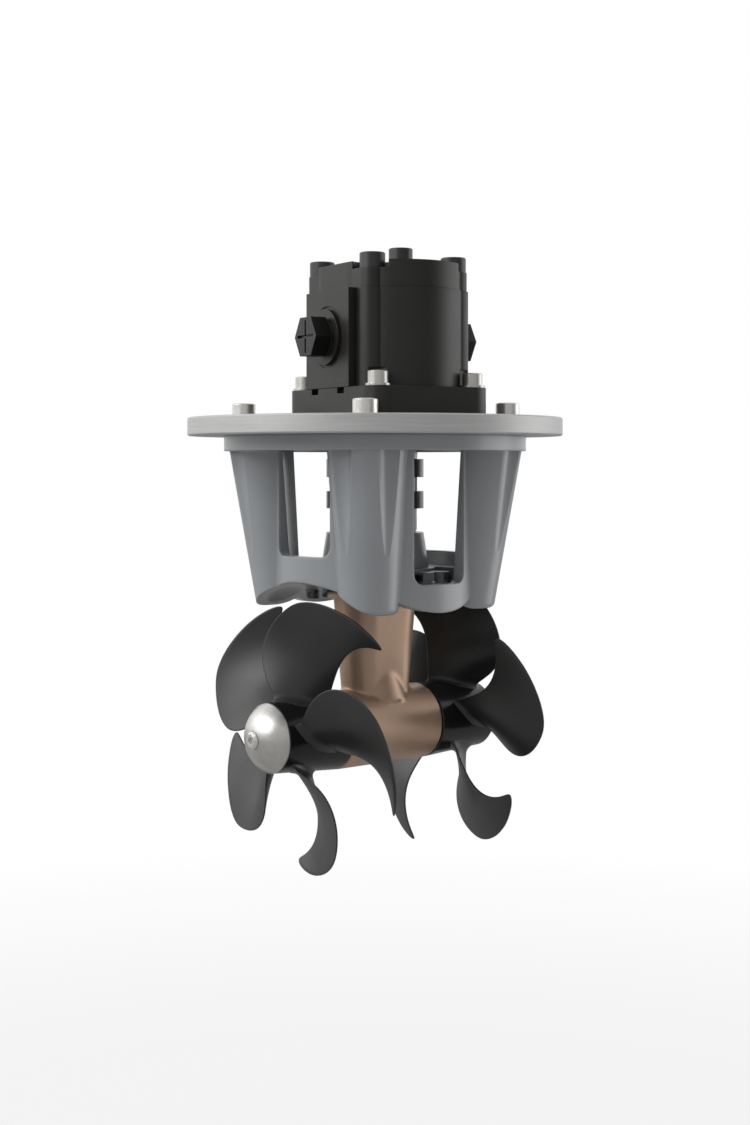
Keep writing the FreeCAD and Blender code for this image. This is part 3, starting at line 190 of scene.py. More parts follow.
def finishOf(name, values):
    # one surface finish: two tones by patches, edges lighter by wear and a painted highlight, fine bump,
    # rounded edges
    material = bpy.data.materials.new(name)
    material.use_nodes = True
    tree = material.node_tree
    shader = tree.nodes["Principled BSDF"]
    edge = useGroup(tree, softEdge, Radius=values["edgeRadius"], Wear=values["wearAndHighlight"])
    if "stretch" in values:
        skin = useGroup(tree, brushLines, Stretch=values["stretch"], Contrast=values.get("contrast", 1.0))
    else:
        skin = useGroup(tree, castSkin, **{"Fine Scale": values["fineScale"],
                                           "Patch Scale": values["patchScale"]})
    mask = remap(tree, skin.outputs["Shade"], *shadeSpan, 0.0, 1.0)
    colour = mixTones(tree, mask, tone(*values["dark"]), tone(*values["light"]))
    # the edges take a lighter tone that is partly wear and partly a painted highlight along every edge
    colour = mixTones(tree, edge.outputs["Edge"], colour, tone(*values["wornAndHighlight"]))
    bump = addNode(tree, "ShaderNodeBump", Strength=values["bump"], Distance=bumpDepth,
                   Height=skin.outputs["Height"], Normal=edge.outputs["Normal"])
    tree.links.new(colour, shader.inputs["Base Color"])
    rough = remap(tree, skin.outputs["Shade"], *shadeSpan, values["rough"] - values["roughSpread"],
                  values["rough"] + values["roughSpread"])
    tree.links.new(rough, shader.inputs["Roughness"])
    tree.links.new(bump.outputs[0], shader.inputs["Normal"])
    shader.inputs["Metallic"].default_value = values["metal"]
    shader.inputs["Specular IOR Level"].default_value = values.get("specular", 0.5)
    shader.inputs["Coat Weight"].default_value = values.get("coat", 0.0)
    shader.inputs["Coat Roughness"].default_value = values.get("coatRough", 0.3)
    return material


# each finish's edge tone is partly wear and partly a painted highlight along the edges
finishes = {
    "platePlane": {"dark": (172, 172, 172), "light": (194, 194, 193), "wornAndHighlight": (214, 214, 213), "metal": 0.55,
                   "rough": 0.5, "roughSpread": 0.05, "bump": 0.1, "edgeRadius": 0.0006, "wearAndHighlight": 0.5,
                   "stretch": (30.0, 30.0, 2600.0), "contrast": 1.1},
    "greyCasting": {"dark": (131, 134, 137), "light": (140, 143, 146), "wornAndHighlight": (164, 166, 168), "metal": 0.0,
                    "rough": 0.38, "roughSpread": 0.05, "bump": 0.08, "edgeRadius": 0.0022, "wearAndHighlight": 0.35,
                    "fineScale": 1400.0, "patchScale": 18.0, "coat": 0.5, "coatRough": 0.24},
    "blackCasting": {"dark": (25, 24, 22), "light": (32, 31, 28), "wornAndHighlight": (62, 60, 57), "metal": 0.0,
                     "rough": 0.42, "roughSpread": 0.06, "bump": 0.14, "edgeRadius": 0.0007, "wearAndHighlight": 0.4,
                     "fineScale": 1600.0, "patchScale": 22.0, "specular": 0.4},
    "blackScrew": {"dark": (34, 34, 34), "light": (44, 44, 43), "wornAndHighlight": (74, 73, 70), "metal": 0.0,
                   "rough": 0.38, "roughSpread": 0.05, "bump": 0.1, "edgeRadius": 0.0003, "wearAndHighlight": 0.5,
                   "fineScale": 2400.0, "patchScale": 60.0},
    "blackPlug": {"dark": (16, 16, 15), "light": (23, 23, 22), "wornAndHighlight": (60, 60, 57), "metal": 0.0,
                  "rough": 0.34, "roughSpread": 0.05, "bump": 0.12, "edgeRadius": 0.0005, "wearAndHighlight": 0.5,
                  "fineScale": 2000.0, "patchScale": 50.0, "specular": 0.3},
    "brightScrew": {"dark": (214, 212, 207), "light": (228, 226, 221), "wornAndHighlight": (238, 237, 233), "metal": 0.8,
                    "rough": 0.3, "roughSpread": 0.06, "bump": 0.1, "edgeRadius": 0.0004, "wearAndHighlight": 0.5,
                    "stretch": (900.0, 900.0, 60.0)},
    "zincScrew": {"dark": (190, 188, 182), "light": (204, 202, 196), "wornAndHighlight": (222, 220, 215), "metal": 0.8,
                  "rough": 0.34, "roughSpread": 0.06, "bump": 0.1, "edgeRadius": 0.0004, "wearAndHighlight": 0.5,
                  "stretch": (900.0, 900.0, 60.0)},
    "darkSteel": {"dark": (96, 97, 98), "light": (112, 113, 114), "wornAndHighlight": (150, 150, 150), "metal": 1.0,
                  "rough": 0.4, "roughSpread": 0.06, "bump": 0.1, "edgeRadius": 0.0004, "wearAndHighlight": 0.5,
                  "stretch": (60.0, 60.0, 1400.0)},
    "couplingSteel": {"dark": (130, 132, 134), "light": (150, 152, 154), "wornAndHighlight": (180, 180, 180),
                      "metal": 1.0, "rough": 0.34, "roughSpread": 0.06, "bump": 0.12, "edgeRadius": 0.0005,
                      "wearAndHighlight": 0.5, "stretch": (60.0, 60.0, 1400.0)},
    "groundSteel": {"dark": (166, 167, 168), "light": (186, 187, 188), "wornAndHighlight": (214, 214, 214), "metal": 1.0,
                    "rough": 0.28, "roughSpread": 0.05, "bump": 0.08, "edgeRadius": 0.0003, "wearAndHighlight": 0.4,
                    "stretch": (1400.0, 60.0, 60.0)},
    "castBronze": {"dark": (172, 144, 123), "light": (188, 160, 138), "wornAndHighlight": (204, 180, 158), "metal": 0.65,
                   "rough": 0.42, "roughSpread": 0.06, "bump": 0.16, "edgeRadius": 0.0012, "wearAndHighlight": 0.5,
                   "fineScale": 1100.0, "patchScale": 30.0},
    "bushBronze": {"dark": (176, 138, 86), "light": (192, 154, 100), "wornAndHighlight": (212, 178, 126), "metal": 1.0,
                   "rough": 0.36, "roughSpread": 0.05, "bump": 0.1, "edgeRadius": 0.0004, "wearAndHighlight": 0.4,
                   "stretch": (60.0, 60.0, 1400.0)},
    "sealRubber": {"dark": (22, 22, 23), "light": (30, 30, 31), "wornAndHighlight": (44, 44, 44), "metal": 0.0,
                   "rough": 0.7, "roughSpread": 0.08, "bump": 0.3, "edgeRadius": 0.0004, "wearAndHighlight": 0.3,
                   "fineScale": 1800.0, "patchScale": 60.0},
    "moulding": {"dark": (33, 33, 33), "light": (43, 43, 42), "wornAndHighlight": (104, 104, 101), "metal": 0.0,
                 "rough": 0.36, "roughSpread": 0.07, "bump": 0.2, "edgeRadius": 0.0009, "wearAndHighlight": 0.5,
                 "fineScale": 1500.0, "patchScale": 26.0},
    "hubMoulding": {"dark": (19, 19, 19), "light": (27, 27, 26), "wornAndHighlight": (70, 70, 68), "metal": 0.0,
                    "rough": 0.22, "roughSpread": 0.05, "bump": 0.12, "edgeRadius": 0.0008, "wearAndHighlight": 0.5,
                    "fineScale": 1500.0, "patchScale": 26.0, "specular": 0.4},
    "anodeMetal": {"dark": (186, 185, 181), "light": (212, 211, 206), "wornAndHighlight": (222, 221, 216), "metal": 1.0,
                   "rough": 0.36, "roughSpread": 0.06, "bump": 0.3, "edgeRadius": 0.0008, "wearAndHighlight": 0.5,
                   "fineScale": 1300.0, "patchScale": 120.0},
}
finish = {name: finishOf(name, values) for name, values in finishes.items()}

nodeFinish = {
    "platePlane": ["adapter_plate"],
    "greyCasting": ["motor_bracket", "seal_housing"],
    "blackCasting": ["motor_flange", "motor_body", "motor_end_cover"],
    "blackScrew": ["end_cover_screws"],
    "blackPlug": ["port_plug_left", "port_plug_right"],
    "brightScrew": ["bracket_bolts", "leg_bolts", "tunnel_washers", "propeller_nuts", "drive_pins",
                    "anode_screws", "coupling_pins"],
    "zincScrew": ["motor_flange_screws", "motor_flange_washers"],
    "darkSteel": ["tunnel_bolts"],
    "couplingSteel": ["coupling_lower_half", "coupling_upper_half"],
    "groundSteel": ["upper_drive_bearing", "lower_drive_bearing", "near_shaft_bearing", "far_shaft_bearing",
                    "drive_shaft", "propeller_shaft", "bevel_pinion", "bevel_gear", "motor_drive_gear",
                    "motor_idler_gear"],
    "castBronze": ["gear_leg", "near_bearing_cover", "far_bearing_cover"],
    "bushBronze": ["lower_bush_block", "upper_bush_block"],
    "sealRubber": ["drive_shaft_seal", "leg_gasket", "near_shaft_seal", "far_shaft_seal", "motor_shaft_seal",
                   "port_seals", "coupling_element"],
    "moulding": ["near_propeller", "far_propeller"],
    "anodeMetal": ["near_anode", "far_anode"],
}
for name, members in nodeFinish.items():
    for member in members:
        nodes[member].data.materials.clear()
        nodes[member].data.materials.append(finish[name])
print("finishes set:", len(finish))


def newPiece(name, mesh, body, slotName, *replaced):
    piece = bpy.data.objects.new(name, mesh)
    bpy.context.scene.collection.objects.link(piece)
    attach(piece, body)
    if replaced:
        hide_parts(*replaced)
    return piece


def smoothByAngle(mesh, degrees):
    shape = bmesh.new()
    shape.from_mesh(mesh)
    for face in shape.faces:
        face.smooth = True
    limit = math.radians(degrees)
    for edge in shape.edges:
        edge.smooth = len(edge.link_faces) == 2 and edge.calc_face_angle(0.0) < limit
    shape.to_mesh(mesh)
    shape.free()


def applyTree(name, source, tree, values):
    # runs a geometry tree over a source mesh and keeps the result as a plain mesh
    carrier = bpy.data.objects.new(name + "Source", source)
    bpy.context.scene.collection.objects.link(carrier)
    modifier = carrier.modifiers.new(tree.name, "NODES")
    modifier.node_group = tree
    for item in tree.interface.items_tree:
        if item.item_type == "SOCKET" and item.in_out == "INPUT" and item.name in values:
            modifier[item.identifier] = values[item.name]
    graph = bpy.context.evaluated_depsgraph_get()
    mesh = bpy.data.meshes.new_from_object(carrier.evaluated_get(graph))
    mesh.name = name
    carrier.modifiers.remove(modifier)
    bpy.data.objects.remove(carrier)
    return mesh


def coneNode(tree, sides, top, bottom, depth):
    node = addNode(tree, "GeometryNodeMeshCone", Vertices=sides, Depth=depth)
    setInput(tree, node, "Radius Top", top)
    setInput(tree, node, "Radius Bottom", bottom)
    return node.outputs["Mesh"]


def lifted(tree, geometry, height):
    offset = addNode(tree, "ShaderNodeCombineXYZ", Z=height)
    node = addNode(tree, "GeometryNodeTransform", Geometry=geometry, Translation=offset.outputs[0])
    return node.outputs[0]


fastenerShape = {"headSides": 48, "limitSides": 64, "socketSides": 6, "shankSides": 32, "washerSides": 48,
                 "margin": 0.001, "overlap": 0.0003, "leastWasher": 0.0001}


def booleanNode(tree, operation):
    node = tree.nodes.new("GeometryNodeMeshBoolean")
    node.operation = operation
    node.solver = "EXACT"
    return node


def switchNode(tree, condition, whenFalse, whenTrue):
    node = tree.nodes.new("GeometryNodeSwitch")
    node.input_type = "GEOMETRY"
    tree.links.new(condition, node.inputs["Switch"])
    if whenFalse:
        tree.links.new(whenFalse, node.inputs["False"])
    tree.links.new(whenTrue, node.inputs["True"])
    return node.outputs[0]


def makeFastenerTree():
    # a chamfered head with an optional hexagon socket, its shank and washer, set on every point
    inputs = [("Geometry", "NodeSocketGeometry", None),
              ("headSides", "NodeSocketInt", fastenerShape["headSides"]),
              ("headRadius", "NodeSocketFloat", 0.008), ("headHeight", "NodeSocketFloat", 0.01),
              ("chamfer", "NodeSocketFloat", 0.0008), ("shankRadius", "NodeSocketFloat", 0.005),
              ("shankLength", "NodeSocketFloat", 0.01), ("hasSocket", "NodeSocketBool", True),
              ("socketRadius", "NodeSocketFloat", 0.004), ("socketDepth", "NodeSocketFloat", 0.005),
              ("washerRadius", "NodeSocketFloat", 0.0), ("washerThickness", "NodeSocketFloat", 0.0016),
              ("Material", "NodeSocketMaterial", None)]
    tree, start, end = newGroup("fasteners", "GeometryNodeTree", inputs, [("Geometry", "NodeSocketGeometry")])
    given = start.outputs
    margin = fastenerShape["margin"]
    head = coneNode(tree, given["headSides"], given["headRadius"], given["headRadius"], given["headHeight"])
    flat = mathNode(tree, "SUBTRACT", given["headRadius"], given["chamfer"])
    narrow = mathNode(tree, "SUBTRACT", flat, margin)
    wide = mathNode(tree, "ADD", mathNode(tree, "ADD", narrow, given["headHeight"]), 2 * margin)
    tall = mathNode(tree, "ADD", given["headHeight"], 2 * margin)
    limit = lifted(tree, coneNode(tree, fastenerShape["limitSides"], narrow, wide, tall), -margin)
    trimmed = booleanNode(tree, "INTERSECT")
    tree.links.new(head, trimmed.inputs["Mesh 2"])
    tree.links.new(limit, trimmed.inputs["Mesh 2"])
    socket = coneNode(tree, fastenerShape["socketSides"], given["socketRadius"], given["socketRadius"],
                      given["headHeight"])
    socket = lifted(tree, socket, mathNode(tree, "SUBTRACT", given["headHeight"], given["socketDepth"]))
    drilled = booleanNode(tree, "DIFFERENCE")
    tree.links.new(trimmed.outputs["Mesh"], drilled.inputs["Mesh 1"])
    tree.links.new(socket, drilled.inputs["Mesh 2"])
    finished = switchNode(tree, given["hasSocket"], trimmed.outputs["Mesh"], drilled.outputs["Mesh"])
    shank = coneNode(tree, fastenerShape["shankSides"], given["shankRadius"], given["shankRadius"],
                     mathNode(tree, "ADD", given["shankLength"], fastenerShape["overlap"]))
    shank = lifted(tree, shank, mathNode(tree, "MULTIPLY", given["shankLength"], -1.0))
    washer = coneNode(tree, fastenerShape["washerSides"], given["washerRadius"], given["washerRadius"],
                      given["washerThickness"])
    washer = lifted(tree, washer, mathNode(tree, "MULTIPLY", given["washerThickness"], -1.0))
    hasWasher = mathNode(tree, "GREATER_THAN", given["washerRadius"], fastenerShape["leastWasher"])
    washer = switchNode(tree, hasWasher, None, washer)
    whole = tree.nodes.new("GeometryNodeJoinGeometry")
    for geometry in (finished, shank, washer):
        tree.links.new(geometry, whole.inputs[0])
    aim = tree.nodes.new("GeometryNodeInputNamedAttribute")
    aim.data_type = "FLOAT_VECTOR"
    aim.inputs["Name"].default_value = "aim"
    spin = tree.nodes.new("GeometryNodeInputNamedAttribute")
    spin.inputs["Name"].default_value = "spin"
    align = tree.nodes.new("FunctionNodeAlignRotationToVector")
    align.axis = "Z"
    tree.links.new(aim.outputs[0], align.inputs["Vector"])
    about = addNode(tree, "FunctionNodeAxisAngleToRotation", Angle=spin.outputs[0])
    about.inputs["Axis"].default_value = (0.0, 0.0, 1.0)
    turned = tree.nodes.new("FunctionNodeRotateRotation")
    turned.rotation_space = "LOCAL"
    tree.links.new(align.outputs[0], turned.inputs[0])
    tree.links.new(about.outputs[0], turned.inputs[1])
    onPoints = tree.nodes.new("GeometryNodeInstanceOnPoints")
    tree.links.new(given["Geometry"], onPoints.inputs["Points"])
    tree.links.new(whole.outputs[0], onPoints.inputs["Instance"])
    tree.links.new(turned.outputs[0], onPoints.inputs["Rotation"])
    real = addNode(tree, "GeometryNodeRealizeInstances", Geometry=onPoints.outputs[0])
    painted = addNode(tree, "GeometryNodeSetMaterial", Geometry=real.outputs[0])
    tree.links.new(given["Material"], painted.inputs["Material"])
    tree.links.new(painted.outputs[0], end.inputs[0])
    return tree


fastenerTree = makeFastenerTree()


def fasteners(name, body, slotName, replaced, places, values, finishName):
    # places are (point, direction out of the head, turn about it)
    source = bpy.data.meshes.new(name + "Points")
    source.from_pydata([tuple(point) for point, aim, spin in places], [], [])
    source.attributes.new("aim", "FLOAT_VECTOR", "POINT")
    source.attributes.new("spin", "FLOAT", "POINT")
    for index, (point, aim, spin) in enumerate(places):
        source.attributes["aim"].data[index].vector = aim
        source.attributes["spin"].data[index].value = spin
    mesh = applyTree(name, source, fastenerTree, dict(values, Material=finish[finishName]))
    smoothByAngle(mesh, 30)
    return newPiece(name, mesh, body, slotName, *replaced)


up = (0.0, 0.0, 1.0)


def ringPlaces(screws):
    # upright screws on a circle about the drive shaft
    places = []
    for index, angle in enumerate(screws["angles"]):
        turn = math.radians(angle)
        outward = Vector((math.cos(turn), math.sin(turn), 0))
        point = outward * screws["circle"] + Vector((0, 0, screws["seat"]))
        places.append((point, up, screws["spin"][0] + index * screws["spin"][1]))
    return places


def cornerPlaces(screws):
    # upright screws in the four corners of the turned motor, the last one raised
    places = []
    for sideX in (-1, 1):
        for sideY in (-1, 1):
            rise = screws["raised"] if sideX + sideY == 2 else 0.0
            point = Vector((screws["wide"] / 2 * sideX, screws["long"] / 2 * sideY + motorMiddle,
                            screws["seat"] + rise))
            spin = screws["spin"][0] + sideX * screws["spin"][1] + sideY * screws["spin"][2]
            places.append((motorTurn @ point, up, spin))
    return places


bracketScrews = {"circle": 0.0885, "seat": 0.1072, "angles": (45, 135, 225, 315), "spin": (0.3, 0.9),
                 "screw": {"headRadius": 0.008, "headHeight": 0.01, "chamfer": 0.0007, "shankRadius": 0.005,
                           "shankLength": 0.036, "socketRadius": 0.0046, "socketDepth": 0.005}}
fasteners("bracketScrews", "housing", "bright_steel", ["bracket_bolts"], ringPlaces(bracketScrews),
          bracketScrews["screw"], "brightScrew")

flangeScrews = {"wide": 0.0714, "long": 0.0962, "seat": 0.1273, "raised": 0.0, "spin": (0.4, 0.7, 0.3),
                "screw": {"headRadius": 0.0065, "headHeight": 0.008, "chamfer": 0.0006, "shankRadius": 0.004,
                          "shankLength": 0.03, "socketRadius": 0.0035, "socketDepth": 0.004,
                          "washerRadius": 0.008, "washerThickness": 0.0016}}
fasteners("motorScrews", "housing", "bright_steel", ["motor_flange_screws", "motor_flange_washers"],
          cornerPlaces(flangeScrews), flangeScrews["screw"], "zincScrew")

coverScrews = {"wide": 0.0615, "long": 0.066, "seat": 0.2012, "raised": 0.0132, "spin": (0.2, 0.5, -0.8),
               "screw": {"headRadius": 0.00825, "headHeight": 0.01, "chamfer": 0.0006, "shankRadius": 0.005,
                         "shankLength": 0.03, "socketRadius": 0.0046, "socketDepth": 0.005}}
fasteners("coverScrews", "housing", "black_steel", ["end_cover_screws"], cornerPlaces(coverScrews),
          coverScrews["screw"], "blackScrew")

tunnelScrews = {"circle": 0.0485, "seat": 0.0008, "angles": (71, 90, 109, 251, 270, 289), "spin": (0.0, 0.45),
                "screw": {"headSides": 6, "headRadius": 0.0075, "headHeight": 0.0053, "chamfer": 0.0008,
                          "shankRadius": 0.004, "shankLength": 0.016, "hasSocket": False,
                          "washerRadius": 0.008, "washerThickness": 0.0016}}
fasteners("tunnelScrews", "housing", "dark_steel", ["tunnel_bolts", "tunnel_washers"],
          ringPlaces(tunnelScrews), tunnelScrews["screw"], "darkSteel")

anodeScrews = {"seat": 0.1013, "spin": 0.3,
               "screw": {"headRadius": 0.0056, "headHeight": 0.0032, "chamfer": 0.0014, "shankRadius": 0.003,
                         "shankLength": 0.012, "socketRadius": 0.0023, "socketDepth": 0.0022}}
places = []
for side in (-1, 1):
    places.append((Vector((anodeScrews["seat"] * side, 0, shaftHeight)), (side, 0, 0), anodeScrews["spin"]))
fasteners("anodeScrews", "propeller_group", "bright_steel", ["anode_screws"], places, anodeScrews["screw"],
          "brightScrew")

couplingScrews = {"radius": 0.0265, "height": 0.0631, "count": 6, "first": 50, "spin": 0.2,
                  "screw": {"headRadius": 0.003, "headHeight": 0.0018, "chamfer": 0.0005,
                            "shankRadius": 0.0015, "shankLength": 0.004, "socketRadius": 0.0014,
                            "socketDepth": 0.0009}}
places = []
for index in range(couplingScrews["count"]):
    turn = math.radians(couplingScrews["first"] + index * 360 / couplingScrews["count"])
    outward = Vector((math.cos(turn), math.sin(turn), 0))
    point = outward * couplingScrews["radius"] + Vector((0, 0, couplingScrews["height"]))
    places.append((point, outward, couplingScrews["spin"]))
fasteners("couplingScrews", "drive_line", "bright_steel", [], places, couplingScrews["screw"],
          "couplingSteel")
print("fasteners set")


blade = {"count": 5, "first": 16.7, "station": 0.0681, "root": 0.0224, "tip": 0.0902,
         "chord": (0.0312, 0.056, 0.071), "pitch": (0.0349, 0.0295), "skew": (0.0, -10.6, 14.5),
         "rake": (0.0, -0.0011, -0.0077), "thick": (0.006, 0.0024), "edge": 0.0011, "tipRound": 0.0125,
         "fillet": 0.0045, "filletReach": 6, "tipPower": 7, "tipEdge": 0.25, "tipThick": 1.2, "steps": 24,
         "merge": 0.00002, "farTurn": 49.3}  # lengths in metres, angles in degrees
hub = {"inner": 0.0395, "outer": 0.09, "rootRadius": 0.0252, "endRadius": 0.0224, "bore": 0.0086,
       "pocketRadius": 0.0125, "pocketDepth": 0.013, "edge": 0.0006, "sides": 96}


def parabola(values, share):
    first, middle, last = values
    return (first * (1 - share) * (1 - 2 * share) + middle * 4 * share * (1 - share)
            + last * share * (2 * share - 1))


def hubRadiusAt(station):
    share = (station - hub["inner"]) / (hub["outer"] - hub["inner"])
    return hub["rootRadius"] + (hub["endRadius"] - hub["rootRadius"]) * share


def bladeOutline(share):
    # a closed loop of points round one section of the blade
    radius = blade["root"] + share * (blade["tip"] - blade["root"])
    start = blade["tip"] - blade["tipRound"]
    rounding = min(1.0, max(0.0, (radius - start) / (blade["tip"] - start)))
    narrowing = math.sqrt(max(0.0, 1 - rounding ** blade["tipPower"]))
    chord = parabola(blade["chord"], share) * narrowing
    skew = math.radians(parabola(blade["skew"], share))
    rake = parabola(blade["rake"], share)
    pitch = blade["pitch"][0] + share * (blade["pitch"][1] - blade["pitch"][0])
    slope = math.atan2(pitch, radius)
    middle = (blade["thick"][0] + share * (blade["thick"][1] - blade["thick"][0])) / 2
    edge = blade["edge"] / 2 * min(1.0, blade["tipEdge"] + narrowing)
    middle = edge + (middle - edge) * min(1.0, narrowing * blade["tipThick"])
    flank = max(chord / 2 - edge, 0.0)
    steps = blade["steps"]
    corners = 4  # steps of each rounded edge
    outline = []
    for side in (1, -1):
        for index in range(steps + 1):
            along = -math.cos(math.pi * index / steps) * side
            thick = side * (edge + (middle - edge) * (1 - along ** 2))
            outline.append((along * flank, thick))
        for index in range(1, corners):
            turn = math.pi / 2 - math.pi * index / corners
            outline.append((side * (flank + edge * math.cos(turn)), side * edge * math.sin(turn)))
    points = []
    for along, thick in outline:
        station = blade["station"] + rake + along * math.sin(slope)
        height = max(0.0, radius - hubRadiusAt(station))
        flare = 0.0
        if height < blade["fillet"]:
            flare = blade["fillet"] - math.sqrt(blade["fillet"] ** 2 - (blade["fillet"] - height) ** 2)
        length = math.hypot(along / blade["filletReach"], thick)
        grown = thick + flare * thick / length
        reach = along + flare * along / blade["filletReach"] / length
        axial = rake + reach * math.sin(slope) + grown * math.cos(slope)
        angle = skew + (grown * math.sin(slope) - reach * math.cos(slope)) / radius
        points.append((-blade["station"] - axial, -radius * math.sin(angle), radius * math.cos(angle)))
    return points


def bladeMesh():
    # sections lie closer together at the root's fillet and at the tip
    shares = [-0.04, 0.0, 0.015, 0.03, 0.045, 0.06, 0.075, 0.09] + list(np.linspace(0.11, 0.82, 26))
    shares += [0.85, 0.88, 0.905, 0.925, 0.94, 0.955, 0.967, 0.977, 0.985, 0.991, 0.9955, 0.9985, 1.0]
    shape = bmesh.new()
    loops = [[shape.verts.new(point) for point in bladeOutline(share)] for share in shares]
    for low, high in zip(loops, loops[1:]):
        count = len(low)
        for index in range(count):
            after = (index + 1) % count
            shape.faces.new((low[index], low[after], high[after], high[index]))
    shape.faces.new(list(reversed(loops[0])))
    shape.faces.new(loops[-1])
    bmesh.ops.remove_doubles(shape, verts=shape.verts, dist=blade["merge"])
    bmesh.ops.recalc_face_normals(shape, faces=shape.faces)
    mesh = bpy.data.meshes.new("blade")
    shape.to_mesh(mesh)
    shape.free()
    return mesh


def makeBladeTree():
    # repeats one blade round the propeller shaft
    tree, start, end = newGroup("bladeRing", "GeometryNodeTree",
                                [("Geometry", "NodeSocketGeometry", None), ("bladeCount", "NodeSocketInt", 5),
                                 ("firstAngle", "NodeSocketFloat", 0.0),
                                 ("Material", "NodeSocketMaterial", None)],
                                [("Geometry", "NodeSocketGeometry")])
    given = start.outputs
    centres = addNode(tree, "GeometryNodePoints", Count=given["bladeCount"])
    index = tree.nodes.new("GeometryNodeInputIndex")
    step = mathNode(tree, "DIVIDE", 2 * math.pi, given["bladeCount"])
    angle = mathNode(tree, "ADD", mathNode(tree, "MULTIPLY", index.outputs[0], step), given["firstAngle"])
    turn = addNode(tree, "FunctionNodeAxisAngleToRotation", Angle=angle)
    turn.inputs["Axis"].default_value = (1.0, 0.0, 0.0)
    onPoints = addNode(tree, "GeometryNodeInstanceOnPoints", Points=centres.outputs[0],
                       Instance=given["Geometry"])
    tree.links.new(turn.outputs[0], onPoints.inputs["Rotation"])
    real = addNode(tree, "GeometryNodeRealizeInstances", Geometry=onPoints.outputs[0])
    painted = addNode(tree, "GeometryNodeSetMaterial", Geometry=real.outputs[0])
    tree.links.new(given["Material"], painted.inputs["Material"])
    tree.links.new(painted.outputs[0], end.inputs[0])
    return tree


def revolveX(name, profile, segments):
    # a closed ring of (station, radius) corners turned about the X axis
    shape = bmesh.new()
    rings = []
    for index in range(segments):
        turn = 2 * math.pi * index / segments
        rings.append([shape.verts.new((station, radius * math.cos(turn), radius * math.sin(turn)))
                      for station, radius in profile])
    for index in range(segments):
        here, there = rings[index], rings[(index + 1) % segments]
        for corner in range(len(profile)):
            after = (corner + 1) % len(profile)
            shape.faces.new((here[corner], here[after], there[after], there[corner]))
    bmesh.ops.recalc_face_normals(shape, faces=shape.faces)
    mesh = bpy.data.meshes.new(name)
    shape.to_mesh(mesh)
    shape.free()
    return mesh


bladeTree = makeBladeTree()
hubEdge = hub["edge"]
hubProfile = [(-hub["inner"], hub["bore"]), (-hub["inner"], hub["rootRadius"] - hubEdge),
              (-hub["inner"] - hubEdge, hub["rootRadius"]), (-hub["outer"] + hubEdge, hub["endRadius"]),
              (-hub["outer"], hub["endRadius"] - hubEdge), (-hub["outer"], hub["pocketRadius"]),
              (-hub["outer"] + hub["pocketDepth"], hub["pocketRadius"]),
              (-hub["outer"] + hub["pocketDepth"], hub["bore"])]
down = Matrix.Translation((0, 0, shaftHeight))
farTurn = down @ Matrix.Rotation(math.pi, 4, "Z") @ Matrix.Rotation(math.radians(blade["farTurn"]), 4, "X")
for word, node, place in (("near", "near_propeller", down), ("far", "far_propeller", farTurn)):
    bladesMesh = applyTree(word + "Blades", bladeMesh(), bladeTree,
                           {"bladeCount": blade["count"], "firstAngle": math.radians(blade["first"]),
                            "Material": finish["moulding"]})
    bladesMesh.transform(place)
    smoothByAngle(bladesMesh, 50)
    newPiece(word + "Blades", bladesMesh, "propeller_group", "propeller_composite", node)
    hubMesh = revolveX(word + "Hub", hubProfile, hub["sides"])
    hubMesh.transform(place)
    hubMesh.materials.append(finish["hubMoulding"])
    smoothByAngle(hubMesh, 30)
    newPiece(word + "Hub", hubMesh, "propeller_group", "propeller_composite", node)
print("propellers set")


leg = {"voxel": 0.0008, "passes": 26, "calmPasses": 3, "merge": 0.000005, "machinedEnd": 0.034,
       "torpedoRadius": 0.0235, "shoulder": 0.024, "meltFrom": 0.008, "meltRise": 0.006, "boreKept": 0.0145,
       "saddleRadius": 0.0885, "saddleFade": 0.001, "flangeFrom": 0.08, "rim": 0.0318, "rimFade": 0.002}


def castingCopy(name, node, values, weightOf):
    # remeshes a copy of a node and melts its inner corners as a casting's are
    mesh = nodes[node].data.copy()
    shape = bmesh.new()
    shape.from_mesh(mesh)
    bmesh.ops.remove_doubles(shape, verts=shape.verts, dist=values["merge"])
    shape.to_mesh(mesh)
    shape.free()
    carrier = bpy.data.objects.new(name + "Source", mesh)
    bpy.context.scene.collection.objects.link(carrier)
    remesh = carrier.modifiers.new("voxels", "REMESH")
    remesh.mode = "VOXEL"
    remesh.voxel_size = values["voxel"]
    graph = bpy.context.evaluated_depsgraph_get()
    dense = bpy.data.meshes.new_from_object(carrier.evaluated_get(graph))
    carrier.modifiers.remove(remesh)
    carrier.data = dense
    strong = carrier.vertex_groups.new(name="melt")
    for vertex in dense.vertices:
        weight = weightOf(vertex.co)
        if weight > 0:
            strong.add([vertex.index], weight, "REPLACE")
    for group, count in (("melt", values["passes"]), ("", values["calmPasses"])):
        smooth = carrier.modifiers.new("smooth", "SMOOTH")
        smooth.factor = 0.5
        smooth.iterations = count
        smooth.vertex_group = group
    graph = bpy.context.evaluated_depsgraph_get()
    result = bpy.data.meshes.new_from_object(carrier.evaluated_get(graph))
    carrier.modifiers.clear()
    bpy.data.objects.remove(carrier)
    result.name = name
    return result


def legWeight(point):
    # full in the corners between flange, stem, bulge and torpedo, none at the machined faces
    above = point.z - shaftHeight
    away = math.hypot(point.x, point.y)
    outside = math.hypot(point.y, above)
    if abs(point.x) > leg["machinedEnd"] or outside < leg["torpedoRadius"] and above < leg["shoulder"]:
        return 0.0
    if above < leg["meltFrom"] or away < leg["boreKept"] or outside > leg["saddleRadius"]:
        return 0.0
    rising = (above - leg["meltFrom"]) / leg["meltRise"]
    weight = min(1.0, rising, (leg["saddleRadius"] - outside) / leg["saddleFade"])
    if above > leg["flangeFrom"]:
        weight = min(weight, max(0.0, (leg["rim"] - away) / leg["rimFade"]))
    return weight


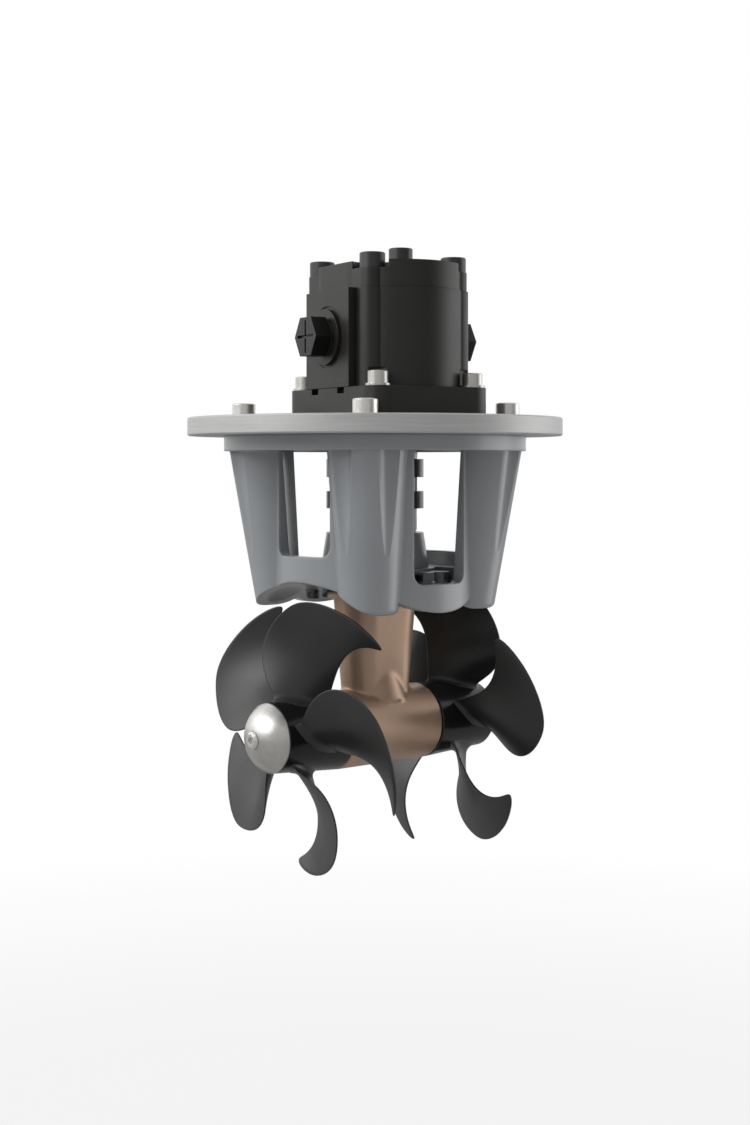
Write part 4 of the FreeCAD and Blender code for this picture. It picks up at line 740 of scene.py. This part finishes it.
legMesh = castingCopy("gearLegCasting", "gear_leg", leg, legWeight)
legMesh.materials.clear()
legMesh.materials.append(finish["castBronze"])
for polygon in legMesh.polygons:
    polygon.use_smooth = True
newPiece("gearLegCasting", legMesh, "housing", "bronze", "gear_leg")
print("gear leg cast:", len(legMesh.polygons), "faces")


camera = {"place": (-0.7804, -0.8936, 0.0749), "look": (0.6578, 0.7532, 0.0), "lens": 56.7,
          "sensor": 36.0, "shift": -0.0854, "nearest": 0.05}
cameraData = bpy.data.cameras.new("photoCamera")
cameraData.lens = camera["lens"]
cameraData.sensor_width = camera["sensor"]
cameraData.shift_y = camera["shift"]
cameraData.clip_start = camera["nearest"]
cameraData.dof.use_dof = False
cameraObject = bpy.data.objects.new("photoCamera", cameraData)
cameraObject.location = camera["place"]
cameraObject.rotation_euler = Vector(camera["look"]).to_track_quat("-Z", "Y").to_euler()
bpy.context.scene.collection.objects.link(cameraObject)
bpy.context.scene.camera = cameraObject

# soft boxes high on the left and behind, and a weaker low one to the right
lampAim = Vector((0, 0, 0.02))
lamps = [
    {"name": "leftSoftbox", "place": (-1.6, 0.2, 0.85), "size": 1.0, "power": 12.0},
    {"name": "leftBackSoftbox", "place": (-1.5, 0.9, 0.9), "size": 1.0, "power": 6.5},
    {"name": "backSoftbox", "place": (-0.9, 1.4, 0.8), "size": 1.0, "power": 2.4},
    {"name": "rightSoftbox", "place": (1.33, -0.77, 0.0), "size": 1.0, "power": 4.8},
]
for lamp in lamps:
    lampData = bpy.data.lights.new(lamp["name"], "AREA")
    lampData.shape = "SQUARE"
    lampData.size = lamp["size"]
    lampData.energy = lamp["power"]
    lampObject = bpy.data.objects.new(lamp["name"], lampData)
    lampObject.location = lamp["place"]
    aimed = lampAim - Vector(lamp["place"])
    lampObject.rotation_euler = aimed.to_track_quat("-Z", "Y").to_euler()
    bpy.context.scene.collection.objects.link(lampObject)

# a white room that dims towards the camera's side: its levels go from the back to the front
room = {"frontWay": (-0.6578, -0.7532, 0.0), "knots": (-0.5, 0.0, 0.45, 0.9),
        "lit": (0.84, 1.34, 0.37, 0.42), "gloss": (1.1, 0.75, 0.05, 0.6)}


def pathShare(tree, *kinds):
    # one for a ray of any of the kinds, else nought
    path = tree.nodes.new("ShaderNodeLightPath")
    share = path.outputs[kinds[0]]
    for kind in kinds[1:]:
        share = mathNode(tree, "MAXIMUM", share, path.outputs[kind])
    return share


def blendValues(tree, share, first, second):
    node = tree.nodes.new("ShaderNodeMix")
    node.data_type = "FLOAT"
    for socket, value in zip((node.inputs[0], node.inputs[2], node.inputs[3]), (share, first, second)):
        if isinstance(value, bpy.types.NodeSocket):
            tree.links.new(value, socket)
        else:
            socket.default_value = value
    return node.outputs[0]


world = bpy.data.worlds.new("paleRoom")
bpy.context.scene.world = world
world.use_nodes = True
worldTree = world.node_tree
background = worldTree.nodes["Background"]
background.inputs["Color"].default_value = (1.0, 1.0, 1.0, 1.0)
way = worldTree.nodes.new("ShaderNodeTexCoord")
towards = worldTree.nodes.new("ShaderNodeVectorMath")
towards.operation = "DOT_PRODUCT"
towards.inputs[1].default_value = room["frontWay"]
worldTree.links.new(way.outputs["Generated"], towards.inputs[0])


def roomLevel(levels):
    # straight steps between the levels, by how far a direction points to the front
    total = levels[0]
    for index in range(len(levels) - 1):
        step = remap(worldTree, towards.outputs["Value"], room["knots"][index], room["knots"][index + 1],
                     0.0, levels[index + 1] - levels[index])
        total = mathNode(worldTree, "ADD", total, step)
    return total


strength = blendValues(worldTree, pathShare(worldTree, "Is Glossy Ray"), roomLevel(room["lit"]),
                       roomLevel(room["gloss"]))
strength = blendValues(worldTree, pathShare(worldTree, "Is Camera Ray", "Is Transmission Ray"), strength, 1.0)
worldTree.links.new(strength, background.inputs["Strength"])

floor = {"height": -0.46, "size": 60.0, "tone": (130, 130, 130), "rough": 0.9, "specular": 0.1,
         "shadowReach": (0.5, 1.3), "shadowShare": 0.86, "glossLift": 0.2, "litLift": 0.52}
floorMesh = bpy.data.meshes.new("floor")
half = floor["size"] / 2
floorMesh.from_pydata([(-half, -half, floor["height"]), (half, -half, floor["height"]),
                       (half, half, floor["height"]), (-half, half, floor["height"])], [], [(0, 1, 2, 3)])
floorMaterial = bpy.data.materials.new("paleFloor")
floorMaterial.use_nodes = True
floorTree = floorMaterial.node_tree
floorShader = floorTree.nodes["Principled BSDF"]
floorShader.inputs["Base Color"].default_value = tone(*floor["tone"])
floorShader.inputs["Roughness"].default_value = floor["rough"]
floorShader.inputs["Specular IOR Level"].default_value = floor["specular"]
glow = addNode(floorTree, "ShaderNodeEmission", Color=(1.0, 1.0, 1.0, 1.0), Strength=1.0)
spot = floorTree.nodes.new("ShaderNodeTexCoord")
away = floorTree.nodes.new("ShaderNodeVectorMath")
away.operation = "LENGTH"
flat = addNode(floorTree, "ShaderNodeMapping", Vector=spot.outputs["Object"], Scale=(1.0, 1.0, 0.0))
floorTree.links.new(flat.outputs[0], away.inputs[0])
shown = remap(floorTree, away.outputs["Value"], *floor["shadowReach"], floor["shadowShare"], 1.0)
shown = mathNode(floorTree, "MULTIPLY", shown, pathShare(floorTree, "Is Camera Ray", "Is Transmission Ray"))
gloss = mathNode(floorTree, "MULTIPLY", pathShare(floorTree, "Is Glossy Ray"), floor["glossLift"])
lit = mathNode(floorTree, "MULTIPLY", pathShare(floorTree, "Is Diffuse Ray"), floor["litLift"])
blendShader = floorTree.nodes.new("ShaderNodeMixShader")
lift = mathNode(floorTree, "MAXIMUM", mathNode(floorTree, "MAXIMUM", shown, gloss), lit)
floorTree.links.new(lift, blendShader.inputs[0])
floorTree.links.new(floorShader.outputs[0], blendShader.inputs[1])
floorTree.links.new(glow.outputs[0], blendShader.inputs[2])
floorTree.links.new(blendShader.outputs[0], floorTree.nodes["Material Output"].inputs["Surface"])
floorMesh.materials.append(floorMaterial)
floorObject = bpy.data.objects.new("floor", floorMesh)
bpy.context.scene.collection.objects.link(floorObject)

bpy.context.scene.view_settings.view_transform = "Standard"
print("stage set")
